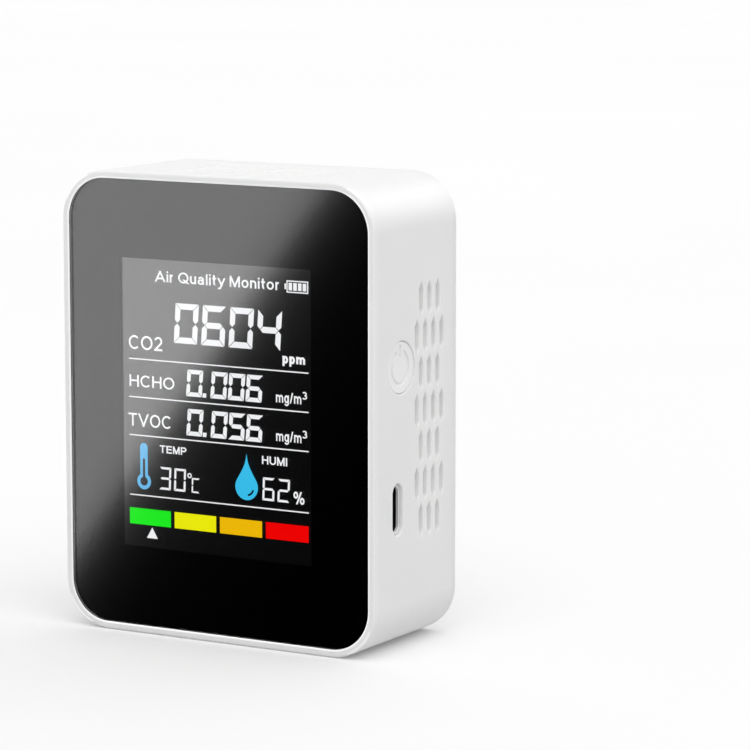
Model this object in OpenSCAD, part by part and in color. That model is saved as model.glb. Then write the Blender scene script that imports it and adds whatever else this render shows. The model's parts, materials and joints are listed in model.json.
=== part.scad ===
// Carbon dioxide and air quality monitor: a small upright box with a flush display panel,
// vented sides and top, a side power button, a USB-C port and two wall-hanging keyholes.
// Units are millimetres. X runs to the right as seen from the front, Z is up, and the
// origin is at the centre of the base. Depths called "back" are measured from the front.

/* [Case] */
// Width across the front
case_w = 66.3; // [66:0.1:72]
// Depth from the front rim to the back cover
case_d = 29.6; // [29.4:0.1:36]
// Height
case_h = 85; // [84.6:0.1:92]
// Radius of the four corners seen from the front
corner_r = 9; // [7:0.5:11]
// Thickness of the side walls
wall = 1.6; // [1.4:0.1:1.8]
// Rounding of the front rim's outer edge
front_round = 0.4; // [0.3:0.1:1]
// Rounding of the rear rim's outer edge
rear_round = 0.3; // [0.2:0.1:0.4]

/* [Display panel] */
// Width of the rim that shows around the panel
rim_w = 1.37; // [1.2:0.01:2]
// Depth of the panel's face behind the rim
panel_sink = 0.1; // [0:0.05:0.3]
// Thickness of the clear panel
panel_t = 1; // [0.8:0.1:1.2]
// Width of the window in the printed border
window_w = 40.6; // [36:0.1:42]
// Height of the window in the printed border
window_h = 53.3; // [48:0.1:54]
// Height of the window's centre above the base
window_z = 42.6; // [42:0.1:43]
// Sideways place of the window and the display behind it
window_x = -0.65; // [-0.7:0.05:0.7]

/* [Air vents] */
// Spacing of neighbouring vents across a row
vent_pitch = 3; // [2.8:0.1:3.1]
// Length of a vent on the right side and the top
short_vent_l = 6.1; // [5.5:0.1:6.4]
// Width of a vent on the right side and the top
short_vent_w = 1.5; // [1.2:0.1:1.7]
// Spacing of the rows of short vents
short_row_pitch = 6.7; // [6.6:0.1:7]
// Length of a vent on the left side
long_vent_l = 6.8; // [6:0.1:6.9]
// Width of a vent on the left side
long_vent_w = 1.7; // [1.4:0.1:1.8]
// Spacing of the rows of long vents
long_row_pitch = 7.17; // [7:0.01:7.4]

/* [Power button] */
// Radius of the cap
button_r = 4.65; // [4:0.05:4.7]
// Depth of the cap's rim behind the side wall's face
button_sink = 0.15; // [0.1:0.05:0.4]
// Travel of the button
button_travel = 0.4; // [0.3:0.1:0.4]
// Height of the button's centre above the base
button_z = 51.7; // [51:0.1:53]

/* [Wall hanging] */
// Spacing of the two keyholes
keyhole_pitch = 40; // [39:0.5:42]
// Radius of the round hole that the screw head enters
keyhole_r = 3.85; // [3.5:0.05:4]
// Width of the slot that the screw's shank hangs in
keyhole_slot_w = 4.7; // [4:0.1:5]
// Height of the round hole's centre above the base
keyhole_z = 64.4; // [63:0.1:65]
// Distance from the round hole's centre up to the slot's end centre
keyhole_rise = 7.65; // [6:0.05:8]

/* [Sound outlet] */
// Spacing of the rings of sound holes
sound_pitch = 2.5; // [2.4:0.1:2.6]
// Radius of a sound hole
sound_hole_r = 0.75; // [0.6:0.05:0.8]
// Number of rings around the centre hole
sound_rings = 4; // [3:1:4]
// Height of the outlet's centre above the base
sound_z = 69.4; // [69:0.1:70]

/* [Hidden] */
$fn = 96;

// Small clearances and overshoots
gap = 0.05;
cut = 0.5;

// Depths back from the front face, in the order of the stack
panel_back = panel_sink + panel_t;
mask_t = 0.08;
mask_back = panel_back + mask_t;
adhesive_t = 0.15;
recess_back = mask_back + adhesive_t;
front_wall_back = 2.8;
polarizer_t = 0.2;
polarizer_front = 1.45;
glass_front = polarizer_front + polarizer_t;
glass_t = 0.7;
rear_glass_front = glass_front + glass_t;
rear_polarizer_front = rear_glass_front + glass_t;
film_front = rear_polarizer_front + polarizer_t;
film_t = 0.1;
guide_front = film_front + film_t;
guide_t = 1.2;
reflector_front = guide_front + guide_t;
reflector_t = 0.15;
board_front = 5.1;
board_t = 1.6;
board_back = board_front + board_t;
cover_t = 1.6;
cover_front = case_d - cover_t;

// Inner size of the case and its side faces
inner_w = case_w - 2 * wall;
inner_h = case_h - 2 * wall;
side_x = case_w / 2;
wall_x = inner_w / 2;
mid_z = case_h / 2;

// Dust screens inside the vents, the side ones as [back, z, length back, height]
screen_t = 0.4;
right_screen = [14.2, 19.4, 10.9, 47.5];
left_screen = [5.2, 16.8, 19.2, 51];
top_screen_back = 5.3;
top_screen_w = 34.2;
top_screen_l = 18.8;
flange_room = 0.15;

// Front panel and its recess
recess_w = case_w - 2 * rim_w;
recess_h = case_h - 2 * rim_w;
recess_r = corner_r - rim_w;
rim_bevel = 0.3;
window_r = 0.3;
adhesive_inset = 0.3;
adhesive_gap = 0.7;

// Display module
module_z = 42.3;
lcd_frame_w = 46.2;
lcd_frame_h = 60;
lcd_frame_wall = 1;
frame_gap = 0.2;
frame_opening_r = 0.6;
lcd_w = 44;
lcd_top = module_z + lcd_frame_h / 2 - lcd_frame_wall - 2 * gap;
front_glass_h = 57.8;
rear_glass_h = 55.4;
film_inset = 0.3;
polarizer_drop = 0.5;
led_h = 1.3;
led_w = 3;
led_count = 4;
led_pitch = 10;
contact_w = 40;
contact_h = 1.8;
contact_z = lcd_top - front_glass_h + 0.2;

// Main board and its screws
board_w = 61.6;
board_h = 80;
board_r = 6.5;
screw_x = 27;
screw_z = [8.5, 76.5];
screw_r = 0.95;
screw_head_r = 1.9;
screw_head_t = 1.3;
screw_l = 4.2;
cross_l = 2.2;
cross_w = 0.5;
cross_depth = 0.6;
boss_r = 2.6;
pilot_front = 2.1;

// Controller chip, inductor and humidity sensor on the board
chip_x = -6;
chip_z = 62;
chip_w = 10;
chip_t = 1.45;
chip_r = 0.4;
chip_bevel = 0.15;
chip_lift = 0.15;
leg_pitch = 0.8;
leg_l = 1;
leg_w = 0.3;
leg_t = 0.2;
inductor_x = 14;
inductor_z = 26;
inductor_w = 6;
inductor_t = 3;
humidity_x = 27;
humidity_z = 66;
humidity_w = 3;
humidity_t = 1;
heat_slot_x = 26;
heat_slot_offset = 3.4;
heat_slot_l = 8;
heat_slot_w = 0.8;

// Power button and its switch
button_back = 9.5;
button_hole_r = button_r + 0.1;
button_flange_r = 5.5;
button_flange_t = 0.8;
button_face_x = side_x - button_sink;
button_flange_x = wall_x - 0.1 - button_flange_t;
button_dish_r = 40;
symbol_r = 2.95;
symbol_line = 0.5;
symbol_depth = 0.3;
symbol_gap = 2.4;
symbol_bar_z = 1.9;
symbol_bar_l = 2.1;
button_pin_r = 1.6;
switch_x = 24.3;
switch_l = 4;
switch_w = 6.2;
switch_t = 5;
plunger_r = 1.48;
plunger_tip_x = 29.25;
plunger_l = 2.25;
plunger_gap = 0.07;
terminal_x = [25, 27.2];
terminal_w = 0.7;
terminal_t = 0.25;
terminal_l = 1.2;
board_notch_x = 29.3;
board_notch_h = 14;

// USB-C port
usb_z = 26.3;
usb_back = board_back + 1.6;
usb_hole_l = 9.4;
usb_hole_w = 3.6;
usb_l = 8.94;
usb_w = 3.2;
usb_skin = 0.3;
usb_x = 24.9;
usb_depth = 7.6;
usb_inside_x = usb_x + 0.6;
tongue_l = 6.1;
tongue_t = 0.7;
tongue_w = 6.7;
contact_t = 0.05;
contact_l = 4.7;

// Back cover
rear_lip = 0.5;
cover_gap = 0.1;
cover_inset = rear_lip + cover_gap;
cover_bevel = 0.2;
skirt_gap = 0.15;
skirt_t = 1.2;
skirt_l = 2.8;
snap_w = 6;
snap_x = 15;
snap_back = 26;
snap_t = 0.8;
snap_proud = 0.6;
pocket_r = 4.3;
pocket_wall = 1;
pocket_l = 4.6;
ring_wall = 1;
ring_l = 3.5;
ring_notch_w = 8;
ring_notch_h = 6;
label_w = 36.2;
label_h = 23.8;
label_z = 20.1;
label_r = 1;
label_t = 0.1;
label_recess = 0.15;

// Speaker
speaker_r = 12.5;
speaker_l = 4.6;
gasket_t = 0.6;
gasket_r = 10.9;
speaker_back = cover_front - gasket_t;
speaker_front = speaker_back - speaker_l;
magnet_r = 6.5;
magnet_l = 2;
speaker_floor = 1;
speaker_wall = 1.2;
diaphragm_sink = 1.6;

// Battery
cell_w = 30;
cell_h = 40;
cell_t = 10;
cell_x = 8;
cell_z = 25;
pad_t = 0.8;
cell_back = cover_front - pad_t;
cell_front = cell_back - cell_t;
cell_corner_r = 2.5;
cell_round = 1.5;
protection_h = 3;
protection_z = cell_z + cell_h / 2 + protection_h;

// Carbon dioxide sensor module
co2_x = -19.5;
co2_z = 31;
co2_w = 20;
co2_h = 33;
co2_board_front = 10.2;
co2_board_t = 1;
co2_back = co2_board_front + co2_board_t;
chamber_t = 7.5;
chamber_wall = 1;
chamber_w = co2_w - 1.4;
chamber_h = co2_h - 1.6;
filter_w = 9;
filter_h = 4;
filter_t = 0.5;
filter_z = 8;
lamp_z = 12;
lamp_r = 1.5;
lamp_l = 3;
detector_z = 10.5;
detector_r = 3;
detector_l = 3.6;
pin_w = 0.64;
pin_pitch = 2.54;

// Gas sensor
gas_x = 24.4;
gas_z = 39.5;
gas_r = 4.6;
gas_base_t = 1.2;
gas_can_l = 4.2;
gas_window_r = 3;
mesh_pitch = 1.1;

// ---------------------------------------------------------------- shared shapes

// Block from its corner of lowest x and z, set back from the front face
module block(x, back, z, size) translate([x, back - case_d / 2, z]) cube(size);

// Block centred on x and z, set back from the front face
module centred_block(x, back, z, size) block(x - size.x / 2, back, z - size.z / 2, size);

// Round bar running back from a given depth
module bar_y(x, back, z, r, l)
    translate([x, back - case_d / 2, z]) rotate([-90, 0, 0]) cylinder(r = r, h = l);

// Round bar running to the right from a given x
module bar_x(x, back, z, r, l)
    translate([x, back - case_d / 2, z]) rotate([0, 90, 0]) cylinder(r = r, h = l);

// Flat rounded rectangle
module rounded_rectangle(w, h, r) {
    square([w - 2 * r, h], center = true);
    square([w, h - 2 * r], center = true);
    for (x = [-1, 1], y = [-1, 1])
        translate([x * (w / 2 - r), y * (h / 2 - r)]) circle(r);
}

// Upright plate with rounded corners
module plate(w, h, r, back, t, x = 0, z = mid_z)
    translate([x, back + t - case_d / 2, z]) rotate([90, 0, 0])
        linear_extrude(t) rounded_rectangle(w, h, r);

// Upright block with rounded corners, whose side follows steps of [inset, back]
module shaped_block(w, h, r, steps, x = 0, z = mid_z) {
    count = len(steps);
    ring = [for (s = steps) [r - s.x, s.y]];
    translate([x, -case_d / 2, z]) {
        for (sx = [-1, 1], sz = [-1, 1])
            translate([sx * (w / 2 - r), 0, sz * (h / 2 - r)]) rotate([-90, 0, 0])
                rotate_extrude() polygon(concat([[0, steps[0].y]], ring, [[0, steps[count - 1].y]]));
        linear_extrude(h - 2 * r, center = true) polygon(both_sides(steps, w / 2));
        rotate([0, 90, 0]) linear_extrude(w - 2 * r, center = true) polygon(both_sides(steps, h / 2));
    }
}

// Outline of a cross-section that has the same steps on both sides
function both_sides(steps, half) = concat(
    [for (s = steps) [half - s.x, s.y]],
    [for (i = [len(steps) - 1:-1:0]) [steps[i].x - half, steps[i].y]]
);

// Quarter-round steps for an edge at the front or at the back of a block
round_steps = 6;
function front_edge(r, back) =
    [for (i = [0:round_steps])
        let (a = 90 * i / round_steps) [r * (1 - sin(a)), back + r * (1 - cos(a))]];
function rear_edge(r, back) =
    [for (i = [0:round_steps])
        let (a = 90 * i / round_steps) [r * (1 - cos(a)), back - r * (1 - sin(a))]];

// Long hexagon with pointed ends, drawn upright
module vent_outline(l, w) {
    tip = 0.8 * w;
    polygon([
        [0, l / 2], [w / 2, l / 2 - tip], [w / 2, tip - l / 2],
        [0, -l / 2], [-w / 2, tip - l / 2], [-w / 2, l / 2 - tip]
    ]);
}

// Upright vent through a side wall, from x outward
module side_vent(x, back, z, l, w)
    translate([x, back - case_d / 2, z]) rotate([90, 0, 90])
        linear_extrude(wall + 2 * cut) vent_outline(l, w);

// Vent through the top wall, long side across the case
module top_vent(x, back, l, w)
    translate([x, back - case_d / 2, case_h - wall - cut]) rotate([0, 0, 90])
        linear_extrude(wall + 2 * cut) vent_outline(l, w);

// Opening with round ends through the right wall, long side upright
module side_slot(x, l, back, z, height, width) {
    straight = height - width;
    centred_block(x + l / 2, back - width / 2, z, [l, width, straight]);
    for (s = [-1, 1]) bar_x(x, back, z + s * straight / 2, width / 2, l);
}

// Smooth curve through route points, with a few steps between neighbours
curve_steps = 4;
function bend(a, b, c, d, t) = 0.5 * (
    2 * b + (c - a) * t + (2 * a - 5 * b + 4 * c - d) * t * t
    + (3 * b - a - 3 * c + d) * t * t * t
);
function curve(p) = let (last = len(p) - 1) concat(
    [for (i = [0:last - 1], k = [0:curve_steps - 1])
        bend(p[max(i - 1, 0)], p[i], p[i + 1], p[min(i + 2, last)], k / curve_steps)],
    [p[last]]
);

// Round lead swept along route points, given as [x, back, z]
lead_sides = 8;
function unit(v) = v / norm(v);
module lead(route, r) {
    p = curve(route);
    last = len(p) - 1;
    rings = [for (i = [0:last])
        let (
            along = unit(p[min(i + 1, last)] - p[max(i - 1, 0)]),
            side = unit(cross(along, [1, 0.3, 0.2])),
            up = cross(side, along)
        )
        for (k = [0:lead_sides - 1])
            let (a = 360 * k / lead_sides) p[i] + r * (cos(a) * side + sin(a) * up)];
    walls = [for (i = [0:last - 1], k = [0:lead_sides - 1])
        let (n = (k + 1) % lead_sides, base = i * lead_sides)
        [base + k, base + n, base + lead_sides + n, base + lead_sides + k]];
    first_cap = [for (k = [lead_sides - 1:-1:0]) k];
    last_cap = [for (k = [0:lead_sides - 1]) last * lead_sides + k];
    translate([0, -case_d / 2, 0]) polyhedron(rings, concat(walls, [first_cap, last_cap]));
}

// ---------------------------------------------------------------- case

// Vents of the right side: rows of three and four by turns
module right_vents() {
    first_z = 63.25;
    centre_back = 19.7;
    for (row = [0:6]) {
        count = row % 2 == 0 ? 3 : 4;
        for (i = [0:count - 1])
            side_vent(wall_x - cut, centre_back + (i - (count - 1) / 2) * vent_pitch,
                first_z - row * short_row_pitch, short_vent_l, short_vent_w);
    }
}

// Vents of the left side: seven staggered rows of six
module left_vents() {
    first_z = 63.8;
    for (row = [0:6], i = [0:5])
        side_vent(-side_x - cut, case_d / 2 + (i - 2.5 + (row % 2 == 0 ? -0.25 : 0.25)) * vent_pitch,
            first_z - row * long_row_pitch, long_vent_l, long_vent_w);
}

// Vents of the top: five staggered columns of six
module top_vents() {
    for (column = [-2:2], i = [0:5])
        top_vent(column * short_row_pitch,
            case_d / 2 + (i - 2.5 + (column % 2 == 0 ? 0.25 : -0.25)) * vent_pitch,
            short_vent_l, short_vent_w);
}

// Grooves in the top and bottom walls that the cover's snaps click into
module snap_grooves() {
    for (x = [-snap_x, snap_x], z = [wall - snap_proud, case_h - wall])
        block(x - snap_w / 2 - gap, snap_back - gap, z - gap,
            [snap_w + 2 * gap, snap_t + 2 * gap, snap_proud + 2 * gap]);
}

module housing() color("white") difference() {
    union() {
        difference() {
            shaped_block(case_w, case_h, corner_r,
                concat(front_edge(front_round, 0), rear_edge(rear_round, case_d)));
            plate(inner_w, inner_h, corner_r - wall, front_wall_back, case_d);
        }
        for (x = [-screw_x, screw_x], z = screw_z)
            bar_y(x, front_wall_back - cut, z, boss_r, board_front - front_wall_back + cut);
    }
    shaped_block(recess_w + 2 * rim_bevel, recess_h + 2 * rim_bevel, recess_r + rim_bevel,
        [[0, -cut], [0, 0], [rim_bevel, panel_sink], [rim_bevel, recess_back]]);
    plate(lcd_frame_w + 2 * frame_gap, lcd_frame_h + 2 * frame_gap, frame_opening_r, 0,
        front_wall_back + cut, x = window_x, z = module_z);
    plate(case_w - 2 * rear_lip, case_h - 2 * rear_lip, corner_r - rear_lip, cover_front,
        cover_t + cut);
    for (x = [-screw_x, screw_x], z = screw_z)
        bar_y(x, pilot_front, z, screw_r + gap, board_front);
    bar_x(wall_x - cut, button_back, button_z, button_hole_r, wall + 2 * cut);
    side_slot(wall_x - cut, wall + 2 * cut, usb_back, usb_z, usb_hole_l, usb_hole_w);
    right_vents();
    left_vents();
    top_vents();
    snap_grooves();
}

// Thin dust screens glued over the inside of the vents
module vent_screens() color("white") {
    difference() {
        block(wall_x - screen_t, right_screen[0], right_screen[1],
            [screen_t, right_screen[2], right_screen[3]]);
        bar_x(wall_x - screen_t - cut, button_back, button_z, button_flange_r + flange_room,
            screen_t + 2 * cut);
    }
    block(-wall_x, left_screen[0], left_screen[1], [screen_t, left_screen[2], left_screen[3]]);
    block(-top_screen_w / 2, top_screen_back, case_h - wall - screen_t,
        [top_screen_w, top_screen_l, screen_t]);
}

// Keyhole: round entry and slot through the plate
module keyhole_cut(x) {
    l = cover_t + 2 * cut;
    bar_y(x, cover_front - cut, keyhole_z, keyhole_r, l);
    bar_y(x, cover_front - cut, keyhole_z + keyhole_rise, keyhole_slot_w / 2, l);
    block(x - keyhole_slot_w / 2, cover_front - cut, keyhole_z, [keyhole_slot_w, l, keyhole_rise]);
}

// Upright block with round ends behind a keyhole
module pocket_block(x, back, r, l) {
    for (z = [keyhole_z, keyhole_z + keyhole_rise]) bar_y(x, back, z, r, l);
    block(x - r, back, keyhole_z, [2 * r, l, keyhole_rise]);
}

// Sound holes: one in the centre and rings of six, twelve, eighteen and so on
module sound_holes() {
    bar_y(0, cover_front - cut, sound_z, sound_hole_r, cover_t + 2 * cut);
    for (ring = [1:sound_rings], i = [0:6 * ring - 1]) {
        a = 360 * i / (6 * ring);
        bar_y(ring * sound_pitch * cos(a), cover_front - cut, sound_z + ring * sound_pitch * sin(a),
            sound_hole_r, cover_t + 2 * cut);
    }
}

module back_cover() color("white") {
    skirt_w = inner_w - 2 * skirt_gap;
    skirt_h = inner_h - 2 * skirt_gap;
    skirt_r = corner_r - wall - skirt_gap;
    cover_w = case_w - 2 * cover_inset;
    cover_h = case_h - 2 * cover_inset;
    ring_in = speaker_r + 3 * gap;
    difference() {
        union() {
            shaped_block(cover_w, cover_h, corner_r - cover_inset,
                [[0, cover_front], [0, case_d - cover_bevel], [cover_bevel, case_d]]);
            difference() {
                plate(skirt_w, skirt_h, skirt_r, cover_front - skirt_l, skirt_l + cut);
                plate(skirt_w - 2 * skirt_t, skirt_h - 2 * skirt_t, skirt_r - skirt_t,
                    cover_front - skirt_l - cut, skirt_l + cut);
            }
            difference() {
                bar_y(0, cover_front - ring_l, sound_z, ring_in + ring_wall, ring_l + cut);
                bar_y(0, cover_front - ring_l - cut, sound_z, ring_in, ring_l + cut);
                centred_block(0, cover_front - ring_l - cut, sound_z - ring_in,
                    [ring_notch_w, ring_l + cut, ring_notch_h]);
            }
            for (x = [-1, 1] * keyhole_pitch / 2)
                pocket_block(x, cover_front - pocket_l - pocket_wall, pocket_r + pocket_wall,
                    pocket_l + pocket_wall + cut);
            for (x = [-snap_x, snap_x],
                z = [wall + skirt_gap - snap_proud, case_h - wall - skirt_gap - cut])
                block(x - snap_w / 2, snap_back, z, [snap_w, snap_t, snap_proud + cut]);
        }
        for (x = [-1, 1] * keyhole_pitch / 2) {
            pocket_block(x, cover_front - pocket_l, pocket_r, pocket_l);
            keyhole_cut(x);
        }
        sound_holes();
        plate(label_w + 4 * gap, label_h + 4 * gap, label_r + 2 * gap, case_d - label_recess, cut,
            z = label_z);
    }
}

module rear_label() color("silver")
    plate(label_w, label_h, label_r, case_d - label_recess, label_t, z = label_z);

// ---------------------------------------------------------------- front panel and display

module front_panel() color([0.6, 0.65, 0.7, 0.4])
    plate(recess_w - 2 * gap, recess_h - 2 * gap, recess_r - gap, panel_sink, panel_t);

module panel_mask() color("black") difference() {
    plate(recess_w - 2 * gap, recess_h - 2 * gap, recess_r - gap, panel_back, mask_t);
    plate(window_w, window_h, window_r, panel_back - cut, mask_t + 2 * cut,
        x = window_x, z = window_z);
}

module panel_adhesive() color("dimgray") difference() {
    plate(recess_w - 2 * adhesive_inset, recess_h - 2 * adhesive_inset, recess_r - adhesive_inset,
        mask_back, adhesive_t);
    plate(lcd_frame_w + 2 * adhesive_gap, lcd_frame_h + 2 * adhesive_gap, window_r,
        mask_back - cut, adhesive_t + 2 * cut, x = window_x, z = module_z);
}

// Sheet of the display stack, hung from the stack's top edge
module sheet(w, h, back, t, drop = 0)
    centred_block(window_x, back, lcd_top - drop - h / 2, [w, t, h]);

module lcd_front_polarizer() color([0.1, 0.1, 0.12])
    sheet(lcd_w - 2 * film_inset, front_glass_h - 2 * polarizer_drop, polarizer_front, polarizer_t,
        polarizer_drop);

module lcd_front_glass() color([0.5, 0.55, 0.6])
    sheet(lcd_w, front_glass_h, glass_front, glass_t);

module lcd_rear_glass() color([0.45, 0.5, 0.55])
    sheet(lcd_w, rear_glass_h, rear_glass_front, glass_t);

module lcd_rear_polarizer() color([0.1, 0.1, 0.12])
    sheet(lcd_w - 2 * film_inset, rear_glass_h - 2 * film_inset, rear_polarizer_front, polarizer_t,
        film_inset);

module colour_film() color("gold")
    sheet(lcd_w - 2 * film_inset, rear_glass_h - 2 * film_inset, film_front, film_t, film_inset);

module backlight_guide() color([0.9, 0.95, 1])
    sheet(lcd_w, rear_glass_h - led_h - gap, guide_front, guide_t, led_h + gap);

module backlight_leds() color("ivory")
    for (i = [0:led_count - 1])
        centred_block(window_x + (i - (led_count - 1) / 2) * led_pitch, guide_front,
            lcd_top - led_h / 2, [led_w, guide_t, led_h]);

module backlight_reflector() color("white")
    sheet(lcd_w, rear_glass_h, reflector_front, reflector_t);

module lcd_contact_strip() color("slategray")
    centred_block(window_x, rear_glass_front, contact_z + contact_h / 2,
        [contact_w, board_front - rear_glass_front, contact_h]);

module lcd_frame() color("whitesmoke") difference() {
    centred_block(window_x, polarizer_front, module_z,
        [lcd_frame_w, board_front - polarizer_front, lcd_frame_h]);
    centred_block(window_x, polarizer_front - cut, module_z,
        [lcd_frame_w - 2 * lcd_frame_wall, reflector_front + reflector_t - polarizer_front + cut,
            lcd_frame_h - 2 * lcd_frame_wall]);
    centred_block(window_x, polarizer_front, contact_z + contact_h / 2,
        [contact_w + 4 * gap, board_front, contact_h + 4 * gap]);
}

// ---------------------------------------------------------------- main board

module main_board() color("darkgreen") difference() {
    plate(board_w, board_h, board_r, board_front, board_t);
    for (x = [-screw_x, screw_x], z = screw_z)
        bar_y(x, board_front - cut, z, screw_r + 4 * gap, board_t + 2 * cut);
    block(board_notch_x, board_front - cut, button_z - board_notch_h / 2,
        [board_w, board_t + 2 * cut, board_notch_h]);
    for (s = [-1, 1])
        centred_block(heat_slot_x, board_front - cut, humidity_z + s * heat_slot_offset,
            [heat_slot_l, board_t + 2 * cut, heat_slot_w]);
}

module board_screws() color("silver")
    for (x = [-screw_x, screw_x], z = screw_z) difference() {
        union() {
            bar_y(x, board_back - screw_l, z, screw_r, screw_l + cut);
            bar_y(x, board_back, z, screw_head_r, screw_head_t);
        }
        for (size = [[cross_l, 1, cross_w], [cross_w, 1, cross_l]])
            centred_block(x, board_back + screw_head_t - cross_depth, z, size);
    }

module controller_chip() color([0.15, 0.15, 0.16])
    shaped_block(chip_w, chip_w, chip_r, [
        [0, board_back + chip_lift],
        [0, board_back + chip_t - chip_bevel],
        [chip_bevel, board_back + chip_t]
    ], x = chip_x, z = chip_z);

module controller_legs() color("silver")
    for (side = [0:3], i = [-5:5])
        translate([chip_x, board_back - case_d / 2, chip_z]) rotate([0, 90 * side, 0])
            translate([chip_w / 2, 0, i * leg_pitch - leg_w / 2]) cube([leg_l, leg_t, leg_w]);

// Blocks that stand on the board, given as [x, z, width, thickness, height]
module board_blocks(places)
    for (p = places) centred_block(p[0], board_back, p[1], [p[2], p[3], p[4]]);

module power_chips() color([0.15, 0.15, 0.16])
    board_blocks([[14, 17, 5, 1.5, 4], [5, 14, 3, 1.2, 3], [20, 67, 4, 1.2, 5], [-2, 30, 6, 1.6, 5]]);

module power_inductor() color([0.25, 0.25, 0.27]) difference() {
    plate(inductor_w, inductor_w, 1, board_back, inductor_t, x = inductor_x, z = inductor_z);
    bar_y(inductor_x, board_back + inductor_t - 0.4, inductor_z, inductor_w / 3, 1);
}

module small_components() color("tan") {
    board_blocks([for (i = [0:5]) [-14 + 2.6 * i, 52, 1.6, 0.6, 0.8]]);
    board_blocks([for (i = [0:4]) [19, 12 + 2 * i, 1.6, 0.6, 0.8]]);
    board_blocks([for (i = [0:3]) [-4 + 3 * i, 20, 1.2, 0.8, 2]]);
    board_blocks([[-19, 62, 3.2, 1, 8]]);
}

module humidity_sensor() color("darkslategray") difference() {
    centred_block(humidity_x, board_back, humidity_z, [humidity_w, humidity_t, humidity_w]);
    bar_y(humidity_x, board_back + 0.7 * humidity_t, humidity_z, 0.8, humidity_t);
}

// ---------------------------------------------------------------- power button and switch

module power_button() color("white") difference() {
    dish = button_r * button_r / (2 * button_dish_r);
    symbol_x = button_face_x - dish - symbol_depth;
    cap_x = button_flange_x + button_flange_t / 2;
    union() {
        bar_x(cap_x, button_back, button_z, button_r, button_face_x - cap_x);
        bar_x(button_flange_x, button_back, button_z, button_flange_r, button_flange_t);
        bar_x(plunger_tip_x + gap, button_back, button_z, button_pin_r, button_flange_x - plunger_tip_x);
    }
    translate([button_face_x - dish + button_dish_r, button_back - case_d / 2, button_z])
        sphere(button_dish_r, $fn = 200);
    difference() {
        bar_x(symbol_x, button_back, button_z, symbol_r + symbol_line / 2, 1);
        bar_x(symbol_x - cut, button_back, button_z, symbol_r - symbol_line / 2, 2);
        centred_block(button_face_x, button_back - symbol_gap / 2, button_z + symbol_r,
            [2, symbol_gap, 2.4]);
    }
    block(symbol_x, button_back - symbol_line / 2, button_z + symbol_bar_z,
        [1, symbol_line, symbol_bar_l]);
}

module switch_body() color([0.2, 0.2, 0.2]) difference() {
    centred_block(switch_x + switch_l / 2, board_back, button_z, [switch_l, switch_t, switch_w]);
    bar_x(plunger_tip_x - plunger_l - button_travel - 0.2, button_back, button_z,
        plunger_r + plunger_gap, switch_l);
}

module switch_plunger() color("goldenrod")
    bar_x(plunger_tip_x - plunger_l, button_back, button_z, plunger_r, plunger_l);

module switch_terminals() color("silver")
    for (x = terminal_x, s = [-1, 1])
        centred_block(x, board_back, button_z + s * (switch_w + terminal_l) / 2,
            [terminal_w, terminal_t, terminal_l]);

// ---------------------------------------------------------------- USB-C receptacle

module usb_shell() color("silver") difference() {
    side_slot(usb_x, usb_depth, usb_back, usb_z, usb_l, usb_w);
    side_slot(usb_inside_x, usb_depth, usb_back, usb_z, usb_l - 2 * usb_skin, usb_w - 2 * usb_skin);
}

module usb_tongue() color([0.12, 0.12, 0.12])
    block(usb_inside_x, usb_back - tongue_t / 2, usb_z - tongue_w / 2, [tongue_l, tongue_t, tongue_w]);

module usb_contacts() color("gold")
    for (i = [0:11], back = [usb_back - tongue_t / 2 - contact_t, usb_back + tongue_t / 2])
        block(usb_inside_x + 1.2, back, usb_z + (i - 5.5) * 0.5 - 0.125, [contact_l, contact_t, 0.25]);

// ---------------------------------------------------------------- carbon dioxide sensor

// Places of the module's pins along its two upright edges
pin_x = co2_w / 2 - 1.6;
pin_rows = [for (s = [-1, 1], i = [-2:2]) [co2_x + s * pin_x, co2_z + i * pin_pitch]];

module co2_board() color("darkgreen")
    plate(co2_w, co2_h, 1, co2_board_front, co2_board_t, x = co2_x, z = co2_z);

module co2_pins() color("gold")
    for (p = pin_rows)
        centred_block(p.x, board_back, p.y, [pin_w, co2_board_front - board_back, pin_w]);

module co2_header() color([0.15, 0.15, 0.15]) difference() {
    for (s = [-1, 1])
        centred_block(co2_x + s * pin_x, board_back + 0.1, co2_z, [2.4, 2.5, 5 * pin_pitch]);
    for (p = pin_rows)
        centred_block(p.x, board_back - cut, p.y, [pin_w + 2 * gap, 4, pin_w + 2 * gap]);
}

module co2_chamber() color("gold") difference() {
    shaped_block(chamber_w, chamber_h, 1.2,
        concat([[0, co2_back]], rear_edge(0.6, co2_back + chamber_t)), x = co2_x, z = co2_z);
    plate(chamber_w - 2 * chamber_wall, chamber_h - 2 * chamber_wall, 0.6, co2_back - cut,
        chamber_t - chamber_wall + cut, x = co2_x, z = co2_z);
    for (s = [-1, 1])
        plate(filter_w, filter_h, filter_h / 2 - 0.1, co2_back, chamber_t + cut,
            x = co2_x, z = co2_z + s * filter_z);
}

module co2_filters() color("white")
    for (s = [-1, 1])
        plate(filter_w - 2 * gap, filter_h - 2 * gap, filter_h / 2 - 0.2, co2_back + chamber_t - 0.8,
            filter_t, x = co2_x, z = co2_z + s * filter_z);

module co2_lamp() color("lightyellow") {
    bar_y(co2_x, co2_back, co2_z - lamp_z, lamp_r + 0.1, lamp_l);
    translate([co2_x, co2_back + lamp_l - case_d / 2, co2_z - lamp_z]) sphere(lamp_r);
}

module co2_detector() color("silver") difference() {
    union() {
        bar_y(co2_x, co2_back, co2_z + detector_z, detector_r + 0.4, 0.6);
        bar_y(co2_x, co2_back, co2_z + detector_z, detector_r, detector_l);
    }
    centred_block(co2_x, co2_back + detector_l - 0.3, co2_z + detector_z, [2.4, 1, 2]);
}

// ---------------------------------------------------------------- gas sensor

module gas_sensor_base() color([0.2, 0.2, 0.2])
    bar_y(gas_x, board_back, gas_z, gas_r, gas_base_t);

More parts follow.
